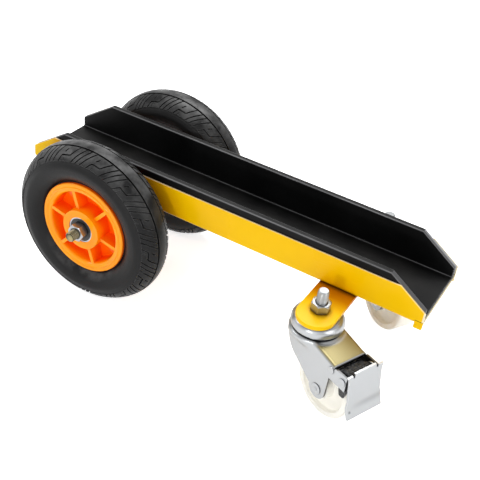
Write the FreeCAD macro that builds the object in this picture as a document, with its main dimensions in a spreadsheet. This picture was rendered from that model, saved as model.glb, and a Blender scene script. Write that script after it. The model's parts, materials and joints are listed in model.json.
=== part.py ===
import FreeCAD
import Part
import Sketcher
import math
import os

# Door dolly: a rubber-lined steel channel that holds a door on edge, carried by two tyred
# wheels on a cross axle at the rear and by two swivel casters at the front, the right one with
# a foot brake.
#
# Deck frame: X runs from the middle of the channel towards the casters, Y to the left, and
# Z = 0 is the underside of the channel. The finished dolly stands on Z = 0 with its origin
# below the middle of its box, so the deck frame is tilted and moved into place at the end.

# Driving sizes in millimetres, angles in degrees, and counts.
SIZES = (
    ("deck_length", 512.0, "length of the channel"),
    ("trough_width", 85.0, "clear width between the rubber walls"),
    ("liner_wall", 7.0, "thickness of the rubber walls"),
    ("liner_floor", 2.5, "thickness of the rubber floor"),
    ("liner_top", 46.5, "top of the rubber walls above the underside of the channel"),
    ("liner_corner", 3.0, "inside corner radius of the rubber"),
    ("corner_relief", 0.5, "extra radius of the rubber's outer corner over the steel bend"),
    ("sheet_thickness", 2.0, "steel of the channel"),
    ("wall_height", 37.5, "top of the steel walls above the underside"),
    ("bend_radius", 2.0, "inside bend radius of the channel"),
    ("end_rise", 15.5, "square part of the walls at each end"),
    ("slope_run", 45.5, "length of the sloped top corner at each end"),
    ("tab_length", 9.5, "tab under each wall at the front end, along the channel"),
    ("tab_drop", 5.5, "tab below the underside of the channel"),
    ("fit_clearance", 0.02, "radial clearance of a fixed fit"),
    ("running_clearance", 0.05, "radial clearance of a running fit"),
    ("axle_back", 117.5, "axle ahead of the rear end of the channel"),
    ("axle_drop", 26.8, "axle below the underside of the channel"),
    ("axle_diameter", 12.0, "cross axle"),
    ("axle_tip", 128.5, "end of the axle from the centre plane"),
    ("thread_chamfer", 1.2, "chamfer on threaded ends"),
    ("nut_flats", 19.0, "across flats of the M12 nuts"),
    ("nut_thickness", 10.0, "thickness of the M12 nuts"),
    ("bracket_thickness", 6.0, "plate of the axle brackets"),
    ("bracket_face", 46.0, "outer face of a bracket from the centre plane"),
    ("bracket_width", 72.0, "bracket along the channel"),
    ("bracket_boss", 16.0, "radius of the bracket round the axle"),
    ("sleeve_diameter", 17.0, "spacing sleeves on the axle"),
    ("wheel_offset", 84.8, "middle of a tyre from the centre plane"),
    ("tyre_radius", 100.0, "outer radius of the tyre"),
    ("tyre_width", 53.6, "widest part of the tyre"),
    ("tread_half_width", 21.6, "half width of the crown"),
    ("crown_height", 10.0, "rise of the crown over its shoulders"),
    ("tread_depth", 2.2, "depth of the tread's grooves"),
    ("groove_width", 1.7, "width of the tread's grooves"),
    ("middle_rib", 15.8, "smooth rib round the middle of the tread, between two ring grooves"),
    ("tread_reach", 29.0, "end of the slanted grooves from the middle, along the crown"),
    ("groove_slant", 0.66, "run of a slanted groove round the tyre for each millimetre across it"),
    ("groove_bend", 37.5, "bend of a slanted groove over the crown"),
    ("tread_units", 14, "repeats of the tread's pattern round a tyre"),
    ("hub_face", 21.0, "outer face of the hub's flange from the wheel's middle"),
    ("flange_height", 5.3, "hub's flanges over the barrel"),
    ("flange_thickness", 4.5, "thickness of the flanges"),
    ("flange_round", 1.5, "edge radius of the flanges"),
    ("barrel_radius", 52.0, "outside of the hub's barrel"),
    ("barrel_wall", 6.5, "wall of the barrel"),
    ("web_thickness", 6.0, "disc between barrel and boss"),
    ("boss_wall", 10.0, "wall of the hub's boss round a bearing"),
    ("boss_half", 24.0, "half length of the boss"),
    ("boss_bore", 13.0, "bore radius between the bearings"),
    ("boss_round", 1.5, "edge radius of the boss"),
    ("rib_count", 6, "ribs of the hub"),
    ("rib_thickness", 5.0, "thickness of a rib"),
    ("rib_half", 19.0, "half width of a rib along the axle"),
    ("rib_turn", 48.0, "angle of the first rib"),
    ("bearing_diameter", 32.0, "outside of a wheel bearing"),
    ("bearing_width", 10.0, "width of a wheel bearing"),
    ("bearing_recess", 0.6, "bearing below the face of the boss"),
    ("bearing_pitch", 11.0, "radius of the ball circle"),
    ("bearing_ball", 5.2, "ball diameter"),
    ("bearing_balls", 8, "balls in a bearing"),
    ("bearing_land", 1.9, "ring shoulders from the ball circle"),
    ("bearing_rim", 1.3, "bare rim of a bearing's outer ring round the seal"),
    ("seal_thickness", 0.8, "rubber seal of a bearing"),
    ("seal_recess", 0.3, "seal below the face of the bearing"),
    ("plate_thickness", 5.0, "cross plate under the channel"),
    ("plate_width", 43.0, "cross plate along the channel"),
    ("ear_reach", 30.0, "rounded end of the cross plate beyond a stud"),
    ("caster_back", 97.0, "caster studs behind the front end of the channel"),
    ("right_stud", 92.0, "right caster stud from the centre plane"),
    ("left_stud", 84.0, "left caster stud from the centre plane"),
    ("stud_diameter", 12.0, "threaded stud of a caster"),
    ("stud_top", 25.0, "end of the stud above the cross plate"),
    ("right_turn", -23.0, "turn of the right caster, 0 trailing straight ahead"),
    ("left_turn", -33.0, "turn of the left caster"),
    ("cap_radius", 28.5, "swivel cap"),
    ("cap_flat", 20.0, "flat top of the swivel cap"),
    ("cap_sheet", 2.5, "steel of the swivel cap"),
    ("cap_skirt", 4.0, "straight skirt of the swivel cap"),
    ("swivel_ball", 6.4, "swivel ball diameter"),
    ("swivel_balls", 14, "balls in a swivel"),
    ("swivel_pitch", 16.0, "radius of the swivel's ball circle"),
    ("race_radius", 24.0, "raised ball track on the fork"),
    ("race_height", 6.0, "height of the raised track"),
    ("king_head", 9.5, "radius of the king pin's head"),
    ("king_head_height", 5.0, "height of the king pin's head"),
    ("king_play", 0.2, "axial play of the king pin"),
    ("fork_half", 22.0, "outside of a fork leg from the caster's middle"),
    ("fork_sheet", 2.5, "steel of the fork"),
    ("fork_round", 29.5, "round top of the fork"),
    ("fork_bend", 3.5, "outside bend radius of the fork"),
    ("fork_nose", 17.0, "front of a leg ahead of the stud"),
    ("fork_nose_radius", 34.0, "curve of the front edge of a leg"),
    ("fork_waist", 4.0, "waist of a leg ahead of the stud"),
    ("fork_waist_drop", 33.0, "waist of a leg below the top of the fork"),
    ("fork_flat", 20.0, "level part of the fork's top behind the stud"),
    ("fork_end", 54.0, "end of the fork's top plate behind the stud"),
    ("fork_fall", 6.5, "fall of the fork's top plate to its end"),
    ("plain_end", 42.0, "end of the top plate of the fork without a brake"),
    ("ear_end", 73.0, "end of the brake ears behind the stud"),
    ("ear_drop", 24.5, "lower edge of the ears below the top of the fork"),
    ("slot_back", 49.5, "slot between a leg and its ear behind the stud"),
    ("fork_boss", 11.5, "radius of a leg round the wheel axle"),
    ("trail", 36.8, "wheel axle behind the stud"),
    ("caster_axle_drop", 71.0, "wheel axle below the cross plate's top"),
    ("caster_wheel_radius", 37.5, "caster wheel"),
    ("caster_tread", 28.0, "tread width of the caster wheel"),
    ("caster_edge", 3.0, "edge radius of the caster wheel"),
    ("caster_rim", 7.5, "depth of the caster wheel's rim"),
    ("caster_web", 16.0, "width of the caster wheel between rim and hub"),
    ("caster_hub_radius", 13.5, "hub of the caster wheel"),
    ("caster_hub_gap", 1.0, "gap between the caster wheel's hub and a leg"),
    ("caster_axle", 8.0, "riveted wheel axle of a caster"),
    ("caster_axle_head", 2.2, "radius of a rivet head over the axle"),
    ("bush_diameter", 15.8, "steel sleeve that the caster wheel runs on"),
    ("pivot_back", 68.0, "brake pivot behind the stud"),
    ("pivot_drop", 35.0, "brake pivot below the cross plate's top"),
    ("pivot_pin", 5.0, "brake pivot pin"),
    ("stop_back", 51.0, "stop pin behind the stud"),
    ("stop_drop", 32.2, "stop pin below the cross plate's top"),
    ("stop_pin", 4.0, "stop pin"),
    ("pin_head", 1.7, "radius of a pin's head over the pin"),
    ("pin_head_height", 1.2, "height of a pin's head"),
    ("pedal_sheet", 2.0, "steel of the brake pedal"),
    ("pedal_half", 23.8, "half width of the brake pedal"),
    ("pedal_top_back", 76.0, "top edge of the pedal behind the stud"),
    ("pedal_top_drop", 20.5, "top edge of the pedal below the cross plate's top"),
    ("pedal_knee_back", 83.0, "fold of the pedal behind the stud"),
    ("pedal_knee_drop", 63.5, "fold of the pedal below the cross plate's top"),
    ("pedal_lip_back", 87.0, "lower edge of the pedal behind the stud"),
    ("pedal_lip_drop", 72.0, "lower edge of the pedal below the cross plate's top"),
    ("cheek_gap", 1.0, "gap between a pedal cheek and the fork's ear"),
    ("cheek_radius", 7.0, "pedal cheek round the pivot"),
    ("cheek_reach", 9.0, "height of a cheek on the pedal, above and below the pivot"),
    ("cam_radius", 7.5, "drum of the brake cam"),
    ("cam_gap", 0.3, "gap between the cam and a cheek"),
    ("cam_flap_gap", 1.0, "gap between the cam's flap and the fork's top plate"),
    ("cam_flap_top", 5.0, "top of the flap above the pivot"),
    ("cam_flap_depth", 5.0, "depth of the flap"),
    ("shoe_gap", 4.4, "brake shoe from the wheel with the brake off"),
    ("shoe_high", 42.0, "upper end of the shoe, as an angle at the wheel axle"),
    ("shoe_low", 18.0, "lower end of the shoe, as an angle at the wheel axle"),
    ("shoe_depth", 3.0, "shoe behind its lower end"),
)

HEX_CORNER = 1.0 / math.sqrt(3.0)
HEX_COUNT = 6
NUT_CHAMFER_SLOPE = math.tan(math.radians(30.0))
TREAD_LINES = (0.09, 0.62)

DOC = FreeCAD.newDocument("door_dolly")
SHEET = DOC.addObject("Spreadsheet::Sheet", "sizes")
PIECES = []


class Size:
    """A number together with the sheet expression that it comes from."""

    def __init__(self, value, text):
        self.value = value
        self.text = text

    def __add__(self, other):
        other = as_size(other)
        return Size(self.value + other.value, f"({self.text} + {other.text})")

    def __sub__(self, other):
        other = as_size(other)
        return Size(self.value - other.value, f"({self.text} - {other.text})")

    def __mul__(self, other):
        other = as_size(other)
        return Size(self.value * other.value, f"({self.text} * {other.text})")

    def __truediv__(self, other):
        other = as_size(other)
        return Size(self.value / other.value, f"({self.text} / {other.text})")

    def __radd__(self, other):
        return as_size(other) + self

    def __rsub__(self, other):
        return as_size(other) - self

    def __rmul__(self, other):
        return as_size(other) * self

    def __neg__(self):
        return Size(-self.value, f"(0 - {self.text})")


def as_size(number):
    """Gives a plain number the form of a Size."""
    if isinstance(number, Size):
        return number
    return Size(float(number), f"({float(number)!r})")


def root(size):
    """Square root of a Size."""
    return Size(math.sqrt(size.value), f"sqrt({size.text})")


class SheetSizes:
    """Reads a driving size by its alias."""

    def __getattr__(self, alias):
        return Size(float(SHEET.get(alias)), f"sizes.{alias}")


S = SheetSizes()


def write_sheet():
    """Fills the sheet with the driving sizes and names each cell."""
    for row, (alias, value, meaning) in enumerate(SIZES, start=1):
        SHEET.set(f"A{row}", meaning)
        SHEET.set(f"B{row}", str(value))
        SHEET.setAlias(f"B{row}", alias)
    DOC.recompute()


def new_body(label):
    """Empty body with its own label."""
    body = DOC.addObject("PartDesign::Body", label)
    body.Label = label
    return body


def sketch_in(body, role):
    """Sketch in one of the body's own planes."""
    plane = next(item for item in body.Origin.OriginFeatures if item.Role == role)
    sketch = body.newObject("Sketcher::SketchObject", body.Name + "_sketch")
    sketch.AttachmentSupport = [(plane, "")]
    sketch.MapMode = "FlatFace"
    return sketch


def sketch_on(body, role, lift=0):
    """Sketch on one of the body's own planes, moved along the plane's normal by lift."""
    sketch = sketch_in(body, role)
    height = as_size(lift)
    sketch.AttachmentOffset = FreeCAD.Placement(FreeCAD.Vector(0, 0, height.value), FreeCAD.Rotation())
    sketch.setExpression("AttachmentOffset.Base.z", height.text)
    return sketch


def bind_constraint(sketch, constraint, size):
    """Adds a dimension to a sketch and ties it to the sheet."""
    index = sketch.addConstraint(constraint)
    sketch.setExpression(f"Constraints[{index}]", size.text)


def pin_point(sketch, geometry, point, x, y):
    """Ties a sketch point to its two coordinates."""
    for kind, size in (("DistanceX", x), ("DistanceY", y)):
        bind_constraint(sketch, Sketcher.Constraint(kind, -1, 1, geometry, point, size.value), size)


def arc_between(start, end, radius):
    """Arc under a half circle; a positive radius turns left on the way to the end."""
    chord = end - start
    reach = math.sqrt(max(radius * radius - chord.Length ** 2 / 4, 0.0))
    left = FreeCAD.Vector(-chord.y, chord.x, 0).normalize()
    centre = (start + end) / 2 + left * math.copysign(reach, radius)
    first, last = (start, end) if radius > 0 else (end, start)
    from_angle = math.atan2(first.y - centre.y, first.x - centre.x)
    to_angle = math.atan2(last.y - centre.y, last.x - centre.x)
    circle = Part.Circle(centre, FreeCAD.Vector(0, 0, 1), abs(radius))
    return Part.ArcOfCircle(circle, from_angle, to_angle)


def outline(sketch, corners):
    """Closed loop through corners (x, y), where a third value bends the edge that follows."""
    corners = [tuple(as_size(entry) for entry in corner) for corner in corners]
    points = [FreeCAD.Vector(corner[0].value, corner[1].value, 0) for corner in corners]
    edges = []
    for number, corner in enumerate(corners):
        start = points[number]
        end = points[(number + 1) % len(points)]
        if len(corner) == 2:
            edges.append((sketch.addGeometry(Part.LineSegment(start, end), False), 1, 2))
            continue
        radius = corner[2]
        arc = sketch.addGeometry(arc_between(start, end, radius.value), False)
        turns_left = radius.value > 0
        edges.append((arc, 1, 2) if turns_left else (arc, 2, 1))
        length = radius if turns_left else -radius
        bind_constraint(sketch, Sketcher.Constraint("Radius", arc, length.value), length)
    for number, (edge, first, last) in enumerate(edges):
        before = edges[number - 1]
        sketch.addConstraint(Sketcher.Constraint("Coincident", before[0], before[2], edge, first))
        pin_point(sketch, edge, first, corners[number][0], corners[number][1])


def ring(sketch, x, y, radius):
    """Circle with its centre and radius tied to the sheet."""
    x, y, radius = as_size(x), as_size(y), as_size(radius)
    centre = FreeCAD.Vector(x.value, y.value, 0)
    index = sketch.addGeometry(Part.Circle(centre, FreeCAD.Vector(0, 0, 1), radius.value), False)
    pin_point(sketch, index, 3, x, y)
    bind_constraint(sketch, Sketcher.Constraint("Radius", index, radius.value), radius)


def hexagon(sketch, flats):
    """Hexagon round the sketch's origin by its width across flats."""
    corners = []
    for step in range(HEX_COUNT):
        angle = 2 * math.pi * step / HEX_COUNT
        corners.append((flats * (HEX_CORNER * math.cos(angle)), flats * (HEX_CORNER * math.sin(angle))))
    outline(sketch, corners)


def add_feature(body, kind, sketch):
    """Feature of a body made from one sketch."""
    feature = body.newObject(f"PartDesign::{kind}", f"{body.Name}_{kind}")
    feature.Profile = sketch
    return feature


def pad(body, sketch, length, symmetric=False, reverse=False):
    """Adds the sketch's outline as a block of the given length."""
    feature = add_feature(body, "Pad", sketch)
    feature.SideType = "Symmetric" if symmetric else "One side"
    feature.Reversed = reverse
    feature.setExpression("Length", as_size(length).text)
    DOC.recompute()
    return feature


def pocket(body, sketch, length=None, symmetric=False, reverse=False):
    """Cuts the sketch's outline out of the body, right through where no length is given."""
    before = body.Shape.Volume
    feature = add_feature(body, "Pocket", sketch)
    feature.SideType = "Symmetric" if symmetric else "One side"
    feature.Reversed = reverse
    if length is None:
        feature.Type = "ThroughAll"
    else:
        feature.setExpression("Length", as_size(length).text)
    DOC.recompute()
    if not body.Shape.Volume < before:
        raise RuntimeError(f"{body.Label}: a pocket cut nothing")
    return feature


def turn(body, sketch, kind="Revolution"):
    """Turns the sketch's outline round its upright axis, as added or removed material."""
    before = body.Shape.Volume if kind == "Groove" else 0.0
    feature = add_feature(body, kind, sketch)
    feature.ReferenceAxis = (sketch, ["V_Axis"])
    feature.Angle = 360.0
    DOC.recompute()
    if kind == "Groove" and not body.Shape.Volume < before:
        raise RuntimeError(f"{body.Label}: a groove cut nothing")
    return feature


def round_edges(body, wanted, radius):
    """Fillets the edges of the body that the given test picks."""
    base = body.Tip
    names = [f"Edge{number}" for number, edge in enumerate(base.Shape.Edges, start=1) if wanted(edge)]
    feature = body.newObject("PartDesign::Fillet", body.Name + "_Fillet")
    feature.Base = (base, names)
    feature.setExpression("Radius", radius.text)
    DOC.recompute()
    return feature


def repeat_round(body, features, count):
    """Repeats features of a body evenly round its Y axis."""
    pattern = body.newObject("PartDesign::PolarPattern", body.Name + "_pattern")
    pattern.Originals = features
    axis = next(item for item in body.Origin.OriginFeatures if item.Role == "Y_Axis")
    pattern.Axis = (axis, [""])
    pattern.Angle = 360.0
    pattern.setExpression("Occurrences", count.text)
    body.Tip = pattern
    DOC.recompute()


def group(label, members):
    """One sub-part made of several separate solids."""
    compound = DOC.addObject("Part::Compound", label)
    compound.Label = label
    compound.Links = members
    return compound


def at(x=0.0, y=0.0, z=0.0, axis=(0, 0, 1), angle=0.0):
    """Placement by a position in millimetres and a turn in degrees."""
    return FreeCAD.Placement(FreeCAD.Vector(x, y, z), FreeCAD.Rotation(FreeCAD.Vector(*axis), angle))


def keep(piece, placement):
    """Lists a finished sub-part with its place in the deck frame."""
    PIECES.append((piece, placement))
    return piece


def tube(label, inside, outside, length):
    """Round tube along Y, centred on its middle; no hole where inside is zero."""
    body = new_body(label)
    half = as_size(length) / 2
    section = sketch_on(body, "XY_Plane")
    outline(section, [(inside, -half), (outside, -half), (outside, half), (inside, half)])
    turn(body, section)
    return body


def hex_nut(label, flats, thickness, bore):
    """Hexagon nut along Z from 0 to its thickness, chamfered at both faces."""
    body = new_body(label)
    plan = sketch_on(body, "XY_Plane")
    hexagon(plan, flats)
    ring(plan, 0, 0, bore)
    pad(body, plan, thickness)
    chamfer_hexagon(body, flats, thickness)
    return body


def chamfer_hexagon(body, flats, thickness):
    """Turns the corners off the lower and upper face of a hexagon."""
    start = flats / 2
    beyond = flats * HEX_CORNER + flats / 10
    rise = (beyond - start) * NUT_CHAMFER_SLOPE
    section = sketch_on(body, "XZ_Plane")
    outline(section, [(start, 0), (beyond, 0), (beyond, rise)])
    outline(section, [(start, thickness), (beyond, thickness), (beyond, thickness - rise)])
    turn(body, section, "Groove")


def sphere(label, radius, x, y, z):
    """Ball with its size and place tied to the sheet."""
    ball = DOC.addObject("Part::Sphere", label)
    ball.setExpression("Radius", radius.text)
    for axis, size in zip("xyz", (x, y, z)):
        ball.setExpression(f"Placement.Base.{axis}", as_size(size).text)
    return ball


def circle_step(count, number):
    """Cosine and sine of one step round a circle."""
    angle = 2 * math.pi * number / count
    return math.cos(angle), math.sin(angle)


def channel_half():
    """Outside of the channel from the centre plane."""
    return S.trough_width / 2 + S.liner_wall + S.sheet_thickness


def flange_radius():
    """Outside of a hub's flanges."""
    return S.barrel_radius + S.flange_height


def slope_ends(body):
    """Cuts the sloped top corners off both ends of a channel section."""
    cut = sketch_on(body, "XZ_Plane")
    half = S.deck_length / 2
    for side in (1, -1):
        end = half * side
        outline(cut, [(end, S.end_rise), (end, S.liner_top), ((half - S.slope_run) * side, S.liner_top)])
    pocket(body, cut, symmetric=True)


def make_channel_frame():
    """Bent steel channel, open upwards, with a short tab below each wall at the front."""
    body = new_body("channel_frame")
    half = channel_half()
    inner = half - S.sheet_thickness
    outside = S.bend_radius + S.sheet_thickness
    floor = S.sheet_thickness
    section = sketch_on(body, "YZ_Plane")
    outline(section, [
        (-half, S.wall_height),
        (-half, outside, outside),
        (outside - half, 0),
        (half - outside, 0, outside),
        (half, outside),
        (half, S.wall_height),
        (inner, S.wall_height),
        (inner, floor + S.bend_radius, -S.bend_radius),
        (inner - S.bend_radius, floor),
        (S.bend_radius - inner, floor, -S.bend_radius),
        (-inner, floor + S.bend_radius),
        (-inner, S.wall_height),
    ])
    pad(body, section, S.deck_length, symmetric=True)
    slope_ends(body)
    front = S.deck_length / 2
    tabs = sketch_on(body, "XY_Plane", -S.tab_drop)
    for side in (1, -1):
        outline(tabs, [
            (front - S.tab_length, inner * side),
            (front, inner * side),
            (front, half * side),
            (front - S.tab_length, half * side),
        ])
    pad(body, tabs, S.tab_drop + outside)
    keep(body, at())


def make_rubber_liner():
    """Moulded rubber trough that lies in the channel and stands above its walls."""
    body = new_body("rubber_liner")
    outer = channel_half() - S.sheet_thickness
    inner = outer - S.liner_wall
    base = S.sheet_thickness
    floor = base + S.liner_floor
    corner = S.bend_radius + S.corner_relief
    section = sketch_on(body, "YZ_Plane")
    outline(section, [
        (-outer, S.liner_top),
        (-outer, base + corner, corner),
        (corner - outer, base),
        (outer - corner, base, corner),
        (outer, base + corner),
        (outer, S.liner_top),
        (inner, S.liner_top),
        (inner, floor + S.liner_corner, -S.liner_corner),
        (inner - S.liner_corner, floor),
        (S.liner_corner - inner, floor, -S.liner_corner),
        (-inner, floor + S.liner_corner),
        (-inner, S.liner_top),
    ])
    pad(body, section, S.deck_length, symmetric=True)
    slope_ends(body)
    keep(body, at())


def caster_station():
    """Caster studs along the deck."""
    return S.deck_length / 2 - S.caster_back


def axle_station():
    """Cross axle along the deck."""
    return S.axle_back - S.deck_length / 2


def make_cross_plate():
    """Flat plate under the channel with a rounded ear for a caster at each side."""
    body = new_body("caster_cross_plate")
    half = S.plate_width / 2
    right_end = -S.right_stud - S.ear_reach
    left_end = S.left_stud + S.ear_reach
    plan = sketch_on(body, "XY_Plane", -S.plate_thickness)
    outline(plan, [
        (half, right_end + half),
        (half, left_end - half, half),
        (0, left_end, half),
        (-half, left_end - half),
        (-half, right_end + half, half),
        (0, right_end, half),
    ])
    for stud in (-S.right_stud, S.left_stud):
        ring(plan, 0, stud, S.stud_diameter / 2 + S.running_clearance)
    pad(body, plan, S.plate_thickness)
    keep(body, at(caster_station().value))


def make_axle_bracket(name, side):
    """Plate below the channel that carries the axle."""
    body = new_body(name)
    half = S.bracket_width / 2
    boss = S.bracket_boss
    face = sketch_on(body, "XZ_Plane")
    outline(face, [
        (-half, 0),
        (-boss, -S.axle_drop, boss),
        (0, -S.axle_drop - boss, boss),
        (boss, -S.axle_drop),
        (half, 0),
    ])
    ring(face, 0, -S.axle_drop, S.axle_diameter / 2 + S.fit_clearance)
    pad(body, face, S.bracket_thickness, symmetric=True)
    middle = S.bracket_face - S.bracket_thickness / 2
    keep(body, at(axle_station().value, side * middle.value))


def axle_place(y=0.0, axis=(0, 0, 1), angle=0.0):
    """Place on the cross axle at a distance from the centre plane."""
    return at(axle_station().value, y, -S.axle_drop.value, axis, angle)


def bearing_middle():
    """Middle of a bearing from the middle of its wheel."""
    return S.boss_half - S.bearing_recess - S.bearing_width / 2


def make_axle():
    """Through axle, its two end nuts and its spacing sleeves."""
    radius = S.axle_diameter / 2
    rod = new_body("axle_rod")
    section = sketch_on(rod, "XY_Plane")
    outline(section, [
        (0, -S.axle_tip),
        (radius - S.thread_chamfer, -S.axle_tip),
        (radius, S.thread_chamfer - S.axle_tip),
        (radius, S.axle_tip - S.thread_chamfer),
        (radius - S.thread_chamfer, S.axle_tip),
        (0, S.axle_tip),
    ])
    turn(rod, section)
    keep(rod, axle_place())
    bore = radius + S.fit_clearance
    outer_seat = S.wheel_offset + bearing_middle() + S.bearing_width / 2
    inner_seat = S.wheel_offset - bearing_middle() - S.bearing_width / 2
    between = bearing_middle() * 2 - S.bearing_width
    nuts = []
    sleeves = []
    spacers = []
    for name, side in (("right", -1), ("left", 1)):
        nut = hex_nut(f"{name}_axle_nut", S.nut_flats, S.nut_thickness, bore)
        nut.Placement = at(0, side * outer_seat.value, 0, (1, 0, 0), -90 * side)
        nuts.append(nut)
        length = inner_seat - S.bracket_face
        sleeve = tube(f"{name}_axle_sleeve", bore, S.sleeve_diameter / 2, length)
        sleeve.Placement = at(0, side * (S.bracket_face + length / 2).value)
        sleeves.append(sleeve)
        spacer = tube(f"{name}_hub_spacer", bore, S.sleeve_diameter / 2, between)
        spacer.Placement = at(0, side * S.wheel_offset.value)
        spacers.append(spacer)
    keep(group("axle_nuts", nuts), axle_place())
    keep(group("axle_sleeves", sleeves), axle_place())
    keep(group("hub_spacers", spacers), axle_place())


def make_tyres():
    """Two like tyres of solid rubber, with a round crown, bulging walls and a neck between the flanges."""
    body = new_body("tyre")
    seat = S.barrel_radius + S.fit_clearance
    rim = flange_radius()
    neck = S.hub_face - S.flange_thickness
    shoulder = S.tyre_radius - S.crown_height
    crown = S.tread_half_width
    crown_arc = (crown * crown + S.crown_height * S.crown_height) / (S.crown_height * 2)
    bulge = S.tyre_width / 2 - (neck + crown) / 2
    chord = root((shoulder - rim) * (shoulder - rim) + (crown - neck) * (crown - neck))
    wall_arc = (chord * chord / 4 + bulge * bulge) / (bulge * 2)
    section = sketch_on(body, "XY_Plane")
    outline(section, [
        (seat, -neck),
        (rim, -neck, wall_arc),
        (shoulder, -crown, crown_arc),
        (shoulder, crown, wall_arc),
        (rim, neck),
        (seat, neck),
    ])
    turn(body, section)
    cut_tread(body, crown_arc)
    for name, side in (("right", -1), ("left", 1)):
        keep(group(f"{name}_tyre", [body]), axle_place(side * S.wheel_offset.value))


def cut_tread(body, crown_arc):
    """Ring grooves beside the middle rib, and slanted grooves from them over both shoulders."""
    edge = S.middle_rib / 2
    skin = S.tyre_radius - crown_arc + root(crown_arc * crown_arc - edge * edge)
    rings = sketch_on(body, "XY_Plane")
    for side in (1, -1):
        low = edge * side - S.groove_width / 2
        high = edge * side + S.groove_width / 2
        bottom = skin - S.tread_depth
        top = skin + S.tread_depth
        outline(rings, [(bottom, low), (top, low), (top, high), (bottom, high)])
    turn(body, rings, "Groove")
    grooves = []
    for share in TREAD_LINES:
        for side in (1, -1):
            grooves.append(slanted_groove(body, crown_arc.value, share, side))
    repeat_round(body, grooves, S.tread_units)


def slanted_groove(body, crown_arc, share, side):
    """One slanted groove: a small section turned about an axis below the crown, at its share of a unit."""
    middle = (S.middle_rib.value / 2 + S.tread_reach.value) / 2
    tilt = side * middle / crown_arc
    slant = math.atan(S.groove_slant.value)
    around = 2 * math.pi / S.tread_units.value * share - middle * math.tan(slant) / S.tyre_radius.value
    around *= -side
    outward = FreeCAD.Vector(math.sin(around), 0, math.cos(around))
    forward = FreeCAD.Vector(math.cos(around), 0, -math.sin(around))
    across = FreeCAD.Vector(0, 1, 0)
    normal = outward * math.cos(tilt) + across * math.sin(tilt)
    sideways = across * math.cos(tilt) - outward * math.sin(tilt)
    line = sideways * math.cos(slant) + forward * math.sin(slant)
    axis = normal.cross(line)
    centre = outward * (S.tyre_radius.value - crown_arc) + normal * (crown_arc - S.groove_bend.value)
    section = sketch_in(body, "XY_Plane")
    facing = FreeCAD.Rotation(normal, axis, normal.cross(axis), "XYZ")
    section.AttachmentOffset = FreeCAD.Placement(centre, facing)
    half = S.groove_width / 2
    bottom = S.groove_bend - S.tread_depth
    top = S.groove_bend + S.tread_depth
    outline(section, [(bottom, -half), (top, -half), (top, half), (bottom, half)])
    length = (S.tread_reach.value - S.middle_rib.value / 2) / math.cos(slant)
    feature = add_feature(body, "Groove", section)
    feature.ReferenceAxis = (section, ["V_Axis"])
    feature.Midplane = True
    feature.Angle = math.degrees(length / S.groove_bend.value)
    return feature


def make_hub(name, place):
    """Moulded hub: barrel with two flanges, ribbed disc and a long boss for two bearings."""
    body = new_body(f"{name}_hub")
    face = S.hub_face
    groove = face - S.flange_thickness
    inside = S.barrel_radius - S.barrel_wall
    web = S.web_thickness / 2
    flange = flange_radius()
    boss = S.bearing_diameter / 2 + S.boss_wall
    seat = S.bearing_diameter / 2 + S.fit_clearance
    depth = bearing_middle() - S.bearing_width / 2
    section = sketch_on(body, "XY_Plane")
    outline(section, [
        (S.boss_bore, -depth),
        (seat, -depth),
        (seat, -S.boss_half),
        (boss, -S.boss_half),
        (boss, -web),
        (inside, -web),
        (inside, -face),
        (flange, -face),
        (flange, -groove),
        (S.barrel_radius, -groove),
        (S.barrel_radius, groove),
        (flange, groove),
        (flange, face),
        (inside, face),
        (inside, web),
        (boss, web),
        (boss, S.boss_half),
        (seat, S.boss_half),
        (seat, depth),
        (S.boss_bore, depth),
    ])
    turn(body, section)
    rounded = ((flange.value, face.value), (inside.value, face.value))
    round_edges(body, lambda edge: on_circle(edge, rounded), S.flange_round)
    nose = ((boss.value, S.boss_half.value),)
    round_edges(body, lambda edge: on_circle(edge, nose), S.boss_round)
    overlap = S.barrel_wall / 2
    rib = sketch_on(body, "XY_Plane")
    outline(rib, [
        (boss - overlap, -S.rib_half),
        (inside + overlap, -S.rib_half),
        (inside + overlap, S.rib_half),
        (boss - overlap, S.rib_half),
    ])
    first = pad(body, rib, S.rib_thickness, symmetric=True)
    repeat_round(body, [first], S.rib_count)
    keep(body, place)


def on_circle(edge, wanted):
    """True for a circle edge whose radius and distance along Y are among those wanted."""
    curve = edge.Curve
    if not isinstance(curve, Part.Circle):
        return False
    near = 0.01
    return any(
        abs(curve.Radius - radius) < near and abs(abs(curve.Center.y) - y) < near
        for radius, y in wanted
    )


def seal_seat():
    """Radius of the step in a bearing's outer ring that holds a seal."""
    return S.bearing_diameter / 2 - S.bearing_rim


def bearing_ring(label, lower, upper, track_land):
    """Bearing ring along Y with a round ball track at track_land, its inner or outer wall."""
    body = new_body(label)
    half = S.bearing_width / 2
    track = S.bearing_ball / 2 + S.running_clearance
    open_half = root(track * track - S.bearing_land * S.bearing_land)
    step = half - S.seal_recess - S.seal_thickness
    seat = seal_seat()
    section = sketch_on(body, "XY_Plane")
    if track_land == "outer":
        corners = [(lower, -half), (upper, -half), (upper, -open_half, -track), (upper, open_half)]
        corners += [(upper, half), (lower, half)]
    else:
        corners = [(upper, -half), (upper, half), (seat, half), (seat, step), (lower, step)]
        corners += [(lower, open_half, -track), (lower, -open_half)]
        corners += [(lower, -step), (seat, -step), (seat, -half)]
    outline(section, corners)
    turn(body, section)
    return body


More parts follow.
